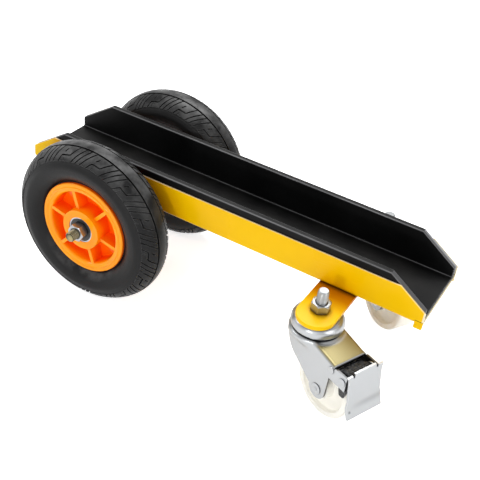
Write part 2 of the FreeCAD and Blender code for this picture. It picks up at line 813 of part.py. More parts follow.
def make_bearings(name, place):
    """Two sealed ball bearings of one wheel: rings, balls and seals as groups."""
    inner_land = S.bearing_pitch - S.bearing_land
    outer_land = S.bearing_pitch + S.bearing_land
    bore = S.axle_diameter / 2 + S.fit_clearance
    seal_middle = S.bearing_width / 2 - S.seal_recess - S.seal_thickness / 2
    inner_rings, outer_rings, balls, seals = [], [], [], []
    for end, side in (("back", -1), ("front", 1)):
        middle = bearing_middle() * side
        stem = f"{name}_{end}"
        inner = bearing_ring(f"{stem}_inner_ring", bore, inner_land, "outer")
        outer = bearing_ring(f"{stem}_outer_ring", outer_land, S.bearing_diameter / 2, "inner")
        for body, rings in ((inner, inner_rings), (outer, outer_rings)):
            body.Placement = at(0, middle.value)
            rings.append(body)
        count = int(S.bearing_balls.value)
        for number in range(count):
            cosine, sine = circle_step(count, number)
            label = f"{stem}_ball"
            x, z = S.bearing_pitch * cosine, S.bearing_pitch * sine
            balls.append(sphere(label, S.bearing_ball / 2, x, middle, z))
        for face in (-1, 1):
            seal = tube(
                f"{stem}_seal",
                inner_land + S.running_clearance,
                seal_seat() - S.fit_clearance,
                S.seal_thickness,
            )
            seal.Placement = at(0, middle.value + face * seal_middle.value)
            seals.append(seal)
    keep(group(f"{name}_bearing_inner_rings", inner_rings), place)
    keep(group(f"{name}_bearing_outer_rings", outer_rings), place)
    keep(group(f"{name}_bearing_balls", balls), place)
    keep(group(f"{name}_bearing_seals", seals), place)


def make_wheel(name, side):
    """Hub and bearings of one rear wheel on the cross axle."""
    middle = side * S.wheel_offset.value
    make_hub(name, axle_place(middle, (0, 1, 0), -S.rib_turn.value))
    make_bearings(name, axle_place(middle))


def track_top():
    """Top of the fork's ball track below the cross plate's top."""
    return -(S.plate_thickness + S.cap_sheet + S.swivel_ball + S.running_clearance * 2)


def fork_top():
    """Level top of the fork below the cross plate's top."""
    return track_top() - S.race_height


def make_stem(name, place):
    """Threaded stud that is also the king pin, with its nut on the cross plate."""
    radius = S.stud_diameter / 2
    head_top = track_top() - S.fork_sheet - S.king_play
    bottom = head_top - S.king_head_height
    stem = new_body(f"{name}_caster_stem")
    section = sketch_on(stem, "XZ_Plane")
    outline(section, [
        (0, bottom),
        (S.king_head, bottom),
        (S.king_head, head_top),
        (radius, head_top),
        (radius, S.stud_top - S.thread_chamfer),
        (radius - S.thread_chamfer, S.stud_top),
        (0, S.stud_top),
    ])
    turn(stem, section)
    keep(stem, place)
    nut = hex_nut(f"{name}_stem_nut", S.nut_flats, S.nut_thickness, radius + S.fit_clearance)
    keep(nut, place)


def make_swivel_cap(name, place):
    """Pressed cap that closes the swivel's balls from above."""
    cap = new_body(f"{name}_swivel_cap")
    top = -S.plate_thickness
    shoulder = S.cap_radius - S.cap_flat
    wall = S.cap_radius - S.cap_sheet
    rim = top - shoulder - S.cap_skirt
    hole = S.stud_diameter / 2 + S.fit_clearance
    section = sketch_on(cap, "XZ_Plane")
    outline(section, [
        (hole, top - S.cap_sheet),
        (S.cap_flat, top - S.cap_sheet, S.cap_sheet - shoulder),
        (wall, top - shoulder),
        (wall, rim),
        (S.cap_radius, rim),
        (S.cap_radius, top - shoulder, shoulder),
        (S.cap_flat, top),
        (hole, top),
    ])
    turn(cap, section)
    keep(cap, place)


def make_swivel_balls(name, place):
    """Ball circle between the cap and the fork."""
    count = int(S.swivel_balls.value)
    height = track_top() + S.running_clearance + S.swivel_ball / 2
    balls = []
    for number in range(count):
        cosine, sine = circle_step(count, number)
        x, y = S.swivel_pitch * cosine, S.swivel_pitch * sine
        balls.append(sphere(f"{name}_swivel_ball", S.swivel_ball / 2, x, y, height))
    keep(group(f"{name}_swivel_balls", balls), place)


def make_fork(name, place, braked):
    """Pressed fork: two legs and a top plate with a raised ball track; brake ears where braked."""
    fork = new_body(f"{name}_caster_fork")
    top = fork_top()
    under = top - S.fork_sheet
    rear = S.fork_end if braked else S.plain_end
    end = top - S.fork_fall * (rear - S.fork_flat) / (S.fork_end - S.fork_flat)
    boss = S.fork_boss
    axle = -S.caster_axle_drop
    ear_bottom = top - S.ear_drop
    ears = [(S.slot_back, ear_bottom), (S.ear_end, ear_bottom), (S.ear_end, end)]
    side = sketch_on(fork, "XZ_Plane")
    outline(side, [
        (-S.fork_nose, top, S.fork_nose_radius),
        (-S.fork_waist, top - S.fork_waist_drop),
        (S.trail - boss, axle, boss),
        (S.trail, axle - boss, boss),
        (S.trail + boss, axle),
        *(ears if braked else []),
        (rear, end),
        (S.fork_flat, top),
    ])
    pad(fork, side, S.fork_half * 2, symmetric=True)
    near = 0.01
    lowest = end.value - near
    rearmost = rear.value + near

    def is_bend(edge):
        first, last = (vertex.Point for vertex in edge.Vertexes)
        along = abs(first.y - last.y) < near and abs(abs(first.y) - S.fork_half.value) < near
        return along and min(first.z, last.z) > lowest and max(first.x, last.x) < rearmost

    round_edges(fork, is_bend, S.fork_bend)
    beyond = S.fork_half
    inside = sketch_on(fork, "XZ_Plane")
    outline(inside, [
        (-S.fork_nose - beyond, under),
        (-S.fork_nose - beyond, axle - boss - beyond),
        (S.ear_end + beyond, axle - boss - beyond),
        (S.ear_end + beyond, top + beyond),
        (rear, top + beyond),
        (rear, end - S.fork_sheet),
        (S.fork_flat, under),
    ])
    pocket(fork, inside, (S.fork_half - S.fork_sheet) * 2, symmetric=True)
    plate = sketch_on(fork, "XY_Plane", under)
    ring(plate, 0, 0, S.fork_round)
    pad(fork, plate, S.fork_sheet)
    track = sketch_on(fork, "XY_Plane", under)
    ring(track, 0, 0, S.race_radius)
    pad(fork, track, S.race_height + S.fork_sheet)
    hollow = sketch_on(fork, "XY_Plane", under)
    ring(hollow, 0, 0, S.race_radius - S.fork_sheet)
    pocket(fork, hollow, S.race_height, reverse=True)
    hole = sketch_on(fork, "XY_Plane", under)
    ring(hole, 0, 0, S.stud_diameter / 2 + S.running_clearance)
    pocket(fork, hole, symmetric=True)
    holes = sketch_on(fork, "XZ_Plane")
    ring(holes, S.trail, axle, S.caster_axle / 2 + S.fit_clearance)
    if braked:
        ring(holes, S.pivot_back, -S.pivot_drop, S.pivot_pin / 2 + S.fit_clearance)
        ring(holes, S.stop_back, -S.stop_drop, S.stop_pin / 2 + S.fit_clearance)
    pocket(fork, holes, symmetric=True)
    keep(fork, place)


def make_caster_wheel(name, place):
    """Nylon wheel with its steel sleeve and riveted axle."""
    inside = S.fork_half - S.fork_sheet
    axle = place.multiply(at(S.trail.value, 0, -S.caster_axle_drop.value))
    wheel = new_body(f"{name}_caster_wheel")
    tread = S.caster_tread / 2
    edge = S.caster_edge
    radius = S.caster_wheel_radius
    rim = radius - S.caster_rim
    web = S.caster_web / 2
    hub = inside - S.caster_hub_gap
    bore = S.bush_diameter / 2 + S.running_clearance
    section = sketch_on(wheel, "XY_Plane")
    outline(section, [
        (bore, -hub),
        (S.caster_hub_radius, -hub),
        (S.caster_hub_radius, -web),
        (rim, -web),
        (rim, -tread),
        (radius - edge, -tread, edge),
        (radius, edge - tread),
        (radius, tread - edge, edge),
        (radius - edge, tread),
        (rim, tread),
        (rim, web),
        (S.caster_hub_radius, web),
        (S.caster_hub_radius, hub),
        (bore, hub),
    ])
    turn(wheel, section)
    keep(wheel, axle)
    bush_bore = S.caster_axle / 2 + S.fit_clearance
    bush = tube(f"{name}_caster_bush", bush_bore, S.bush_diameter / 2, inside * 2)
    keep(bush, axle)
    keep(headed_pin(f"{name}_caster_axle", S.caster_axle, S.caster_axle_head), axle)


def headed_pin(label, diameter, overhang):
    """Cross pin through the fork, along Y, with a flat head outside each leg."""
    body = new_body(label)
    radius = diameter / 2
    head = radius + overhang
    leg = S.fork_half
    tip = leg + S.pin_head_height
    section = sketch_on(body, "XY_Plane")
    outline(section, [
        (0, -tip),
        (head, -tip),
        (head, -leg),
        (radius, -leg),
        (radius, leg),
        (head, leg),
        (head, tip),
        (0, tip),
    ])
    turn(body, section)
    return body


def pedal_face(drop):
    """Inner face of the pedal behind the stud at a drop below the cross plate's top."""
    share = (drop - S.pedal_top_drop) / (S.pedal_knee_drop - S.pedal_top_drop)
    return S.pedal_top_back - S.pedal_sheet + (S.pedal_knee_back - S.pedal_top_back) * share


def cheek_outside():
    """Outer face of a pedal cheek from the caster's middle."""
    return S.fork_half - S.fork_sheet - S.cheek_gap


def make_pedal(name, place):
    """Bent brake pedal with two cheeks that turn on the pivot pin."""
    pedal = new_body(f"{name}_brake_pedal")
    pivot = (S.pivot_back, -S.pivot_drop)
    radius = S.cheek_radius
    high = S.pivot_drop - S.cheek_reach
    low = S.pivot_drop + S.cheek_reach
    bite = S.pedal_sheet / 2
    cheeks = sketch_on(pedal, "XZ_Plane")
    outline(cheeks, [
        (pivot[0], pivot[1] + radius, radius),
        (pivot[0] - radius, pivot[1], radius),
        (pivot[0], pivot[1] - radius),
        (pedal_face(low) + bite, -low),
        (pedal_face(high) + bite, -high),
    ])
    ring(cheeks, pivot[0], pivot[1], S.pivot_pin / 2 + S.running_clearance)
    pad(pedal, cheeks, cheek_outside() * 2, symmetric=True)
    beyond = S.cheek_radius * 2
    inside = sketch_on(pedal, "XZ_Plane")
    outline(inside, [
        (pivot[0] - beyond, pivot[1] + beyond),
        (pivot[0] - beyond, pivot[1] - beyond),
        (pedal_face(low) + beyond, pivot[1] - beyond),
        (pedal_face(low) + beyond, pivot[1] + beyond),
    ])
    pocket(pedal, inside, (cheek_outside() - S.pedal_sheet) * 2, symmetric=True)
    plate = sketch_on(pedal, "XZ_Plane")
    outline(plate, [
        (S.pedal_top_back, -S.pedal_top_drop),
        (S.pedal_top_back - S.pedal_sheet, -S.pedal_top_drop),
        (S.pedal_knee_back - S.pedal_sheet, -S.pedal_knee_drop),
        (S.pedal_lip_back - S.pedal_sheet, -S.pedal_lip_drop),
        (S.pedal_lip_back, -S.pedal_lip_drop),
        (S.pedal_knee_back, -S.pedal_knee_drop),
    ])
    pad(pedal, plate, S.pedal_half * 2, symmetric=True)
    keep(pedal, place)


def make_cam(name, place):
    """Black brake cam on the pivot pin: drum, cover flap and the shoe behind the wheel."""
    cam = new_body(f"{name}_brake_cam")
    half = cheek_outside() - S.pedal_sheet - S.cam_gap
    x, z = S.pivot_back, -S.pivot_drop
    reach = S.caster_wheel_radius + S.shoe_gap
    ends = []
    for angle in (S.shoe_low, S.shoe_high):
        turned = math.radians(angle.value)
        cosine = Size(math.cos(turned), f"cos({angle.text})")
        sine = Size(math.sin(turned), f"sin({angle.text})")
        ends.append((S.trail + reach * cosine, reach * sine - S.caster_axle_drop))
    low, high = ends
    flap = S.fork_end + S.cam_flap_gap
    flap_top = z + S.cam_flap_top
    side = sketch_on(cam, "XZ_Plane")
    outline(side, [
        (x, z + S.cam_radius),
        (flap, flap_top),
        (flap, flap_top - S.cam_flap_depth),
        high + (-reach,),
        low,
        (low[0] + S.shoe_depth, low[1]),
        (x + S.cam_radius, z, S.cam_radius),
    ])
    ring(side, x, z, S.pivot_pin / 2 + S.running_clearance)
    pad(cam, side, half * 2, symmetric=True)
    keep(cam, place)


def make_caster(name, stud, angle, braked):
    """One swivel caster at a distance from the centre plane, turned as it stands."""
    place = at(caster_station().value, stud.value, 0, (0, 0, 1), angle.value)
    make_stem(name, place)
    make_swivel_cap(name, place)
    make_swivel_balls(name, place)
    make_fork(name, place, braked)
    make_caster_wheel(name, place)
    if braked:
        make_brake(name, place)


def make_brake(name, place):
    """Foot brake in the ears of a fork: two cross pins, the pedal and its cam."""
    pivot = at(S.pivot_back.value, 0, -S.pivot_drop.value)
    keep(headed_pin(f"{name}_brake_pivot_pin", S.pivot_pin, S.pin_head), place.multiply(pivot))
    stop = at(S.stop_back.value, 0, -S.stop_drop.value)
    keep(headed_pin(f"{name}_brake_stop_pin", S.stop_pin, S.pin_head), place.multiply(stop))
    make_pedal(name, place)
    make_cam(name, place)


def deck_tilt():
    """Angle by which the deck leans down to the casters when all wheels stand on the floor."""
    turns = (S.right_turn.value, S.left_turn.value)
    forward = sum(math.cos(math.radians(angle)) for angle in turns) / len(turns)
    run = caster_station().value + S.trail.value * forward - axle_station().value
    rise = S.axle_drop.value - S.caster_axle_drop.value
    lift = S.caster_wheel_radius.value - S.tyre_radius.value
    return math.degrees(math.atan2(rise, run) - math.asin(lift / math.hypot(run, rise)))


def check_objects():
    """Stops where anything in the document failed or a sub-part has no sound solid."""
    failed = [item.Label for item in DOC.Objects if {"Invalid", "Error"} & set(item.State)]
    for piece, _ in PIECES:
        if piece.Shape.isNull() or not piece.Shape.isValid() or not piece.Shape.Solids:
            failed.append(piece.Label)
    if failed:
        raise RuntimeError("not built: " + ", ".join(failed))


def stand_on_floor():
    """Tilts the deck on to its wheels and moves the origin below the middle of the box."""
    lean = at(axis=(0, 1, 0), angle=deck_tilt())
    box = FreeCAD.BoundBox()
    for piece, placement in PIECES:
        piece.Placement = lean.multiply(placement)
        box.add(piece.Shape.optimalBoundingBox(False))
    shift = at(-box.Center.x, -box.Center.y, -box.ZMin)
    for piece, placement in PIECES:
        piece.Placement = shift.multiply(lean).multiply(placement)
    return shift.Base, lean.Rotation.Angle


def main():
    write_sheet()
    make_channel_frame()
    make_rubber_liner()
    make_cross_plate()
    for name, side in (("right", -1), ("left", 1)):
        make_axle_bracket(f"{name}_axle_bracket", side)
    make_axle()
    make_tyres()
    for name, side in (("right", -1), ("left", 1)):
        make_wheel(name, side)
    make_caster("right", -S.right_stud, S.right_turn, braked=True)
    make_caster("left", S.left_stud, S.left_turn, braked=False)
    DOC.recompute()
    check_objects()
    shift, lean = stand_on_floor()
    os.makedirs("parts", exist_ok=True)
    for piece, _ in PIECES:
        piece.Shape.exportStep(os.path.join("parts", piece.Label + ".step"))
    print(f"deck origin at {shift.x:.4f}, {shift.y:.4f}, {shift.z:.4f}, leaning {math.degrees(lean):.4f} deg")
    print(f"{len(PIECES)} sub-parts written")


main()
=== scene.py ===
import json
import math

import bmesh
import bpy
import numpy as np
from bpy.props import FloatProperty, FloatVectorProperty, IntProperty, PointerProperty
from bpy.types import Operator, Panel, PropertyGroup
from mathutils import Matrix


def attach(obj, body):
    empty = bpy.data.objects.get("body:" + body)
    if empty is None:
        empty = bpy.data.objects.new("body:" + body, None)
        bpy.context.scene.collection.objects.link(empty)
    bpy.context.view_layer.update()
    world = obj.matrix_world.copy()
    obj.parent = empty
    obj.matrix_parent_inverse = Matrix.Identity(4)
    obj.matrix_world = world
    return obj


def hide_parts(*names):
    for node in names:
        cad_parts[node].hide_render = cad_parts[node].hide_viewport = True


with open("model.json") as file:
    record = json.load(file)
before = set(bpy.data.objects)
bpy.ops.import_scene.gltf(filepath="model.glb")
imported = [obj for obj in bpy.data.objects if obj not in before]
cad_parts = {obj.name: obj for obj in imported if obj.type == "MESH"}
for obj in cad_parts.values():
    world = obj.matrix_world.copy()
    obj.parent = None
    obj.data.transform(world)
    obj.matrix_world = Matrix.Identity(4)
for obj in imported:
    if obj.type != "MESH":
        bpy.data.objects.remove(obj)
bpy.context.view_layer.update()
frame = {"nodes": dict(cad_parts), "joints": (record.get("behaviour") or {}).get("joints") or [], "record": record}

bl_info = {
    "name": "Door dolly looks",
    "version": (1, 0, 0),
    "blender": (4, 5, 0),
    "location": "View3D > Sidebar > Door dolly",
    "description": "Detailed pieces and finishes of a door dolly, built round its packed frame",
    "category": "Object",
}

JOINTS = {joint["name"]: joint for joint in frame["joints"]}
SIDES = ("right", "left")
SPECULAR = "Specular IOR Level"
MM = 0.001
MERGE_DISTANCE = 2e-6
WHITE = (1, 1, 1, 1)

# Stage, in metres; the camera's place is in millimetres and its azimuth, dip and roll in degrees.
MIDDLE = (0.0, 0.0, 0.1)
WHEEL_SIDE = (-0.1, 0.0, 0.1)
FLOOR_REACH = 6.0
FLOOR_LEVEL = -0.0002
CAMERA_PLACE = (379.86, -751.91, 570.02)
CAMERA_TURN = (26.020, 35.777, 7.752)

# Channel, liner and cross plate, in millimetres like all the sizes below.
DECK_HALF = 256.0
CHANNEL_HALF = 51.5
SHEET = 2.0
WALL_HEIGHT = 37.5
END_RISE = 15.5
SLOPE_RUN = 45.5
TAB_LENGTH = 9.5
TAB_DROP = 5.5
TAB_TOP = 5.0
LINER_TOP = 46.5
LINER_WALL = 7.0
LINER_FLOOR = 2.5
LINER_SETBACK = 1.6
LINER_END_EDGE = 0.7
CLOSE_BY = 0.4
WHEEL_SHADE = (-232.0, -60.0)
STUD_STATION = 159.0
RIGHT_STUD = 92.0
LEFT_STUD = 84.0
PLATE_HALF = 21.5
PLATE_THICKNESS = 5.0
PLATE_EDGE = 1.0
EAR_REACH = 30.0
EAR_SHADE = 44.0

# Cross axle, caster studs and nuts.
ROD_RADIUS = 6.0
ROD_CHAMFER = 1.2
AXLE_TIP = 128.5
THREAD_LENGTH = 24.0
WHEEL_OFFSET = 84.8
NUT_FLATS = 19.0
NUT_HEIGHT = 10.0
NUT_SEAT = 108.2
NUT_BORE = 6.02
NUT_SINK = 0.9
NUT_CORNER = 0.985
NUT_CHAMFER = 30.0
STUD_TOP = 25.0
STUD_START = 2.0
STUD_THREAD = 0.6
STUD_ROOT_SHADE = 0.15
KING_TOP = -16.7
KING_BOTTOM = -21.7
KING_RADIUS = 9.5

# Tyre: distances along its skin from the middle of the tread, and radii.
TYRE_RADIUS = 99.99
CROWN_RADIUS = 28.328
CROWN_END = 24.56
WALL_RADIUS = 21.55
WALL_LENGTH = 37.7
BEAD = (57.3, 16.5)
SEAT_RADIUS = 52.1
TREAD_END = 28.6
TREAD_WALL = 0.35
TREAD_LINES = (4.0, 10.8, 18.0, 28.0, 34.0, 40.0)
RIB_EDGE = 8.0
HOOK_LINE = 21.5
BEAD_LINE = 13.0
RIM_LINE = 30.0

# Hub: radii, heights from its middle, and the line of its outer ring as (radius, height).
HUB_BORE = 16.02
SHOULDER = 13.0
SEAT_LEVEL = 12.9
BOSS_RADIUS = 26.0
BOSS_HALF = 24.0
BOSS_FLANK = 0.5
WEB_HALF = 3.0
BARREL_RADIUS = 52.0
FLANGE_RADIUS = 57.3
FLANGE_INNER = 16.5
RING_LINE = (
    (42.8, 3.0), (44.0, 3.4), (44.6, 4.6), (45.0, 9.0), (45.2, 13.0), (45.6, 16.6), (46.3, 18.6),
    (47.4, 19.8), (48.6, 20.2), (49.6, 20.2), (50.3, 20.45), (50.9, 20.85), (51.4, 21.0),
    (51.9, 20.85), (52.5, 20.45), (53.2, 20.2), (54.6, 20.25), (55.8, 20.2),
)
RING_TOP = 47.4
RING_EDGE = 1.5
RIB_COUNT = 6
RIB_TURN = 48.0
RIB_LEVEL = 19.0
RIB_HALF = 2.5
RIB_FLANK = 0.45
RIB_FOOT = 4.2
RIB_REACH = 11.5

# Casters: points are (distance from the stud along the trail, height above the channel's underside).
TRAIL = 36.8
CASTER_AXLE = -71.0
CAP_TOP = -5.0
CAP_FLAT = 20.0
CAP_ROUND = 8.5
LIP = (27.25, -16.25)
LIP_ROUND = 1.25
SKIRT = -15.2
FORK_TOP = -20.0
FORK_SHEET = 2.5
FORK_HALF = 22.0
FORK_RIM = 29.5
FORK_BEND = 3.5
FORK_BOSS = 11.5
FORK_FLAT = 20.0
FORK_END = 54.0
FORK_FALL = 6.5
PLAIN_END = 42.0
PLAIN_DROP = 7.7
CUT_RUN = 1.5
CUT_DROP = 0.4
RACE_RADIUS = 24.0
RACE_HEIGHT = 6.0
NOSE_CENTRE = (16.5, -25.9)
NOSE_RADIUS = 34.0
NOSE_BACK = -17.4
WAIST = (-4.0, -53.0)
LEG_DRAW = 13.0
LEG_STEP = (48.3, 49.5)
LEG_SHADE = -32.0
BOSS_GRIME_AND_SHADE = -60.0
EAR_BOTTOM = -44.5
EAR_END = 73.0
RIVET_RISE = 1.2
RIVET_DIMPLE = 1.0

# Foot brake: points as in the casters; the drum ends with its radius.
PIVOT = (68.0, -35.0)
STOP = (51.0, -32.2)
DRUM = (65.0, -35.4, 8.0)
DRUM_TEETH = 24
TOOTH_DEPTH = 0.35
PEDAL_LINE = ((76.0, -20.5), (83.0, -63.5), (87.0, -72.0))
PEDAL_LEAN = 0.163
PEDAL_SHEET = 2.0
PEDAL_HALF = 23.75
SLOT = (14.5, 17.1)
SLOT_DEPTH = 4.5
CHEEK_ROUND = 7.0


class Place:
    """A local frame: an origin in the row frame and the directions of its three axes."""

    def __init__(self, origin, *axes):
        self.origin = np.array(origin, float)
        self.axes = np.array(axes, float)

    def to_row(self, points):
        """Local millimetres to metres in the row frame."""
        return self.origin + np.asarray(points, float) * MM @ self.axes

    def moved(self, *offset):
        """The same directions from another local point."""
        return Place(self.to_row(offset), *self.axes)


def deck_place():
    """Deck frame: x along the channel, y to the left, z square to the channel's floor."""
    swivel = JOINTS["right_caster_swivel"]
    z = np.array(swivel["axis"], float)
    y = np.array((0.0, 1.0, 0.0))
    x = np.cross(y, z)
    origin = np.array(swivel["pos_m"]) - MM * (STUD_STATION * x - RIGHT_STUD * y)
    return Place(origin, x, y, z)


DECK = deck_place()


def wheel_place(side):
    """Rear wheel: x along the deck, y square to it, z along the axle to the left."""
    x, y, z = DECK.axes
    return Place(JOINTS[f"{side}_wheel_spin"]["pos_m"], x, z, y)


def caster_place(side):
    """Caster: x in the direction of its trail, y along its wheel axle, z up its stud."""
    z = np.array(JOINTS[f"{side}_caster_swivel"]["axis"], float)
    y = np.array(JOINTS[f"{side}_caster_wheel_spin"]["axis"], float)
    return Place(JOINTS[f"{side}_caster_swivel"]["pos_m"], np.cross(y, z), y, z)


def along_axle(place):
    """Turns a caster frame so that its third axis lies along the wheel axle."""
    x, y, z = place.axes
    return Place(place.origin, x, z, y)


def linear(value):
    """Display colour to scene-linear light, by the sRGB curve."""
    value = np.asarray(value, float)
    bright = ((value + 0.055) / 1.055) ** 2.4
    return tuple(np.where(value <= 0.04045, value / 12.92, bright))


def smooth(value):
    """Smooth step: 0 below 0, 1 above 1, and 3v^2 - 2v^3 between."""
    value = np.clip(value, 0.0, 1.0)
    return value * value * (3.0 - 2.0 * value)


def quads(grid, wrap_u, wrap_v):
    """Corner numbers of the faces between neighbouring points of a grid."""
    index = np.arange(grid.shape[0] * grid.shape[1]).reshape(grid.shape[:2])
    ahead_u = np.roll(index, -1, 0)
    ahead_v = np.roll(index, -1, 1)
    both = np.roll(ahead_u, -1, 1)
    rows = slice(None) if wrap_u else slice(-1)
    columns = slice(None) if wrap_v else slice(-1)
    return np.stack([part[rows, columns] for part in (index, ahead_u, both, ahead_v)], -1)


def patch(grid, wrap_u=False, wrap_v=False):
    """One surface of a mesh: the points of a grid and the faces between them."""
    return grid.reshape(-1, 3), quads(grid, wrap_u, wrap_v).reshape(-1, 4)


def sheet(outer, inner, shown):
    """Closed sheet between two skins on grids of the same size, with its cut edges.

    A cut edge lies wherever a face that is shown has none beside it; each gets one face across the
    sheet's thickness.
    """
    points = np.concatenate((outer.reshape(-1, 3), inner.reshape(-1, 3)))
    count = outer.shape[0] * outer.shape[1]
    index = np.arange(count).reshape(outer.shape[:2])
    faces = quads(outer, False, False)[shown]
    padded = np.pad(shown, 1)
    along = padded[1:, 1:-1] != padded[:-1, 1:-1]
    across = padded[1:-1, 1:] != padded[1:-1, :-1]
    first = np.concatenate((index[:, :-1][along], index[:-1][across]))
    last = np.concatenate((index[:, 1:][along], index[1:][across]))
    edges = np.stack((first, last, last + count, first + count), -1)
    return points, np.vstack((faces, faces[:, ::-1] + count, edges))


def build_mesh(name, patches, place, closed=True, crease=32.0, marks=()):
    """Joins patches into one mesh in the row frame, with its seams merged and its ends filled.

    Marks are values at the first points, by name, that the finishes read; further points have 0.
    """
    counts = np.cumsum([0] + [len(points) for points, _ in patches])
    points = place.to_row(np.vstack([points for points, _ in patches]))
    faces = np.vstack([faces + start for (_, faces), start in zip(patches, counts)])
    mesh = bpy.data.meshes.new(name)
    mesh.vertices.add(len(points))
    mesh.vertices.foreach_set("co", points.astype(np.float32).ravel())
    mesh.loops.add(faces.size)
    mesh.loops.foreach_set("vertex_index", faces.astype(np.int32).ravel())
    mesh.polygons.add(len(faces))
    mesh.polygons.foreach_set("loop_start", np.arange(0, faces.size, 4, dtype=np.int32))
    mesh.update(calc_edges=True)
    for label, values in dict(marks).items():
        values = np.asarray(values, np.float32).ravel()
        layer = mesh.attributes.new(label, "FLOAT", "POINT")
        layer.data.foreach_set("value", np.pad(values, (0, len(points) - len(values))))
    work = bmesh.new()
    work.from_mesh(mesh)
    bmesh.ops.remove_doubles(work, verts=work.verts, dist=MERGE_DISTANCE)
    if closed:
        bmesh.ops.holes_fill(work, edges=work.edges, sides=0)
        bmesh.ops.recalc_face_normals(work, faces=work.faces)
    work.to_mesh(mesh)
    work.free()
    mesh.validate()
    mesh.shade_smooth()
    mesh.set_sharp_from_angle(angle=math.radians(crease))
    return mesh


def make_piece(name, patches, place, body, slot, node, crease=32.0, **marks):
    """Builds a piece in its slot's finish, which rides on a body and stands for a solid."""
    mesh = build_mesh(name, patches, place, crease=crease, marks=marks)
    piece = bpy.data.objects.new(name, mesh)
    bpy.context.scene.collection.objects.link(piece)
    mesh.materials.append(finish_for(slot))
    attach(piece, body)
    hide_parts(node)
    return piece


def soften_edges(piece, width, angle=35.0):
    """Rounds the sharp edges of a piece."""
    bevel = piece.modifiers.new("edge_round", "BEVEL")
    bevel.width = width * MM
    bevel.segments = 2
    bevel.limit_method = "ANGLE"
    bevel.angle_limit = math.radians(angle)
    bevel.harden_normals = True


def polar(radius, angle, height):
    """Points at a radius, an angle and a height about the local z axis."""
    return np.stack(np.broadcast_arrays(radius * np.cos(angle), radius * np.sin(angle), height), -1)


def full_turn(count):
    """Even angles once round, as a column."""
    return np.linspace(0, 2 * np.pi, count, endpoint=False)[:, None]


def both_ways(values, sign=-1):
    """Values from the middle outwards, carried on to the other side of it."""
    return np.concatenate((sign * values[:0:-1], values))


def quarter_round(edge, steps):
    """How far the points of a rounded rim are drawn in from its side and lifted from its face."""
    turn = np.linspace(0, np.pi / 2, steps)
    return edge * (1 - np.sin(turn)), edge * (1 - np.cos(turn))


def rounded_loop(corners, radii, steps):
    """Closed outline with each corner replaced by a tangent arc.

    An arc's centre lies on the bisector of its corner, at the radius over the sine of half the
    corner's angle, and its points turn evenly from one tangent point to the other. Leading axes
    of corners hold further outlines of the same kind.
    """
    corners = np.asarray(corners, float)
    radii = np.asarray(radii, float)[:, None]
    back = np.roll(corners, 1, -2) - corners
    ahead = np.roll(corners, -1, -2) - corners
    back /= np.linalg.norm(back, axis=-1, keepdims=True)
    ahead /= np.linalg.norm(ahead, axis=-1, keepdims=True)
    half = np.arccos(np.clip((back * ahead).sum(-1, keepdims=True), -1, 1)) / 2
    middle = back + ahead
    middle /= np.linalg.norm(middle, axis=-1, keepdims=True)
    centre = corners + middle * radii / np.sin(half)
    first = corners + back * radii / np.tan(half) - centre
    last = corners + ahead * radii / np.tan(half) - centre
    sweep = (np.pi - 2 * half)[..., None, :]
    share = np.linspace(0, 1, steps)[:, None]
    arc = first[..., None, :] * np.sin((1 - share) * sweep) + last[..., None, :] * np.sin(share * sweep)
    loop = centre[..., None, :] + arc / np.sin(sweep)
    return loop.reshape(*corners.shape[:-2], -1, 2)


def revolve(profile, count):
    """Profile of (radius, height) turned about the local z axis."""
    radius, height = np.asarray(profile, float).T
    return polar(radius, full_turn(count), height)


def turned(profile, radii, steps, count):
    """Closed ring or solid of revolution with rounded profile corners."""
    return patch(revolve(rounded_loop(profile, radii, steps), count), True, True)


def sweep_along(loops, stations):
    """Closed outlines (y, z), one at each station x, joined along x."""
    x = np.broadcast_to(np.asarray(stations, float)[:, None, None], loops.shape[:2] + (1,))
    return patch(np.concatenate((x, loops), -1), False, True)


def slab(loop, low, high, edge):
    """Plate between two heights with a rounded rim.

    Rings of the outline run from the middle of the lower face over the rim to the middle of the
    upper face; on the rim each ring is drawn in and lifted by a quarter round.
    """
    loop = np.asarray(loop, float)
    ahead = np.roll(loop, -1, 0) - np.roll(loop, 1, 0)
    inward = np.stack((-ahead[:, 1], ahead[:, 0]), -1)
    inward /= np.linalg.norm(inward, axis=1, keepdims=True)
    area = np.sum(loop[:, 0] * np.roll(loop[:, 1], -1) - np.roll(loop[:, 0], -1) * loop[:, 1])
    inward *= np.sign(area)
    draw, lift = quarter_round(edge, 4)
    rim = np.concatenate((draw, draw[::-1]))
    rings = loop[:, None] + inward[:, None] * rim[:, None]
    middle = np.broadcast_to(loop.mean(0), (len(loop), 1, 2))
    plan = np.concatenate((middle, rings, middle), 1)
    level = np.concatenate(([low], low + lift, high - lift[::-1], [high]))
    level = np.broadcast_to(level[:, None], plan.shape[:2] + (1,))
    return patch(np.concatenate((plan, level), -1), True, False)


def upright_slab(loop, low, thickness, edge):
    """Plate with its outline in x and z and its thickness along y."""
    points, faces = slab(loop, low, low + thickness, edge)
    return points[:, [0, 2, 1]], faces


def slope_top(x, top):
    """Top of the walls at a station: level in the middle, sloped down to both ends."""
    rise = (LINER_TOP - END_RISE) / SLOPE_RUN
    return np.minimum(top, END_RISE + rise * (DECK_HALF - np.abs(x)))


def slope_start(top):
    """Distance from the middle at which the walls begin to slope."""
    return DECK_HALF - SLOPE_RUN * (top - END_RISE) / (LINER_TOP - END_RISE)


def deck_stations(top):
    """Stations along the channel: the ends and the starts of the slopes, each with one close by."""
    start = slope_start(top)
    level = np.linspace(0, start, 9)
    slope = np.linspace(start, DECK_HALF, 5)[1:-1]
    ends = DECK_HALF - np.array((LINER_SETBACK + CLOSE_BY, LINER_SETBACK, 0.0))
    return both_ways(np.concatenate((level, [start + CLOSE_BY], slope, ends)))


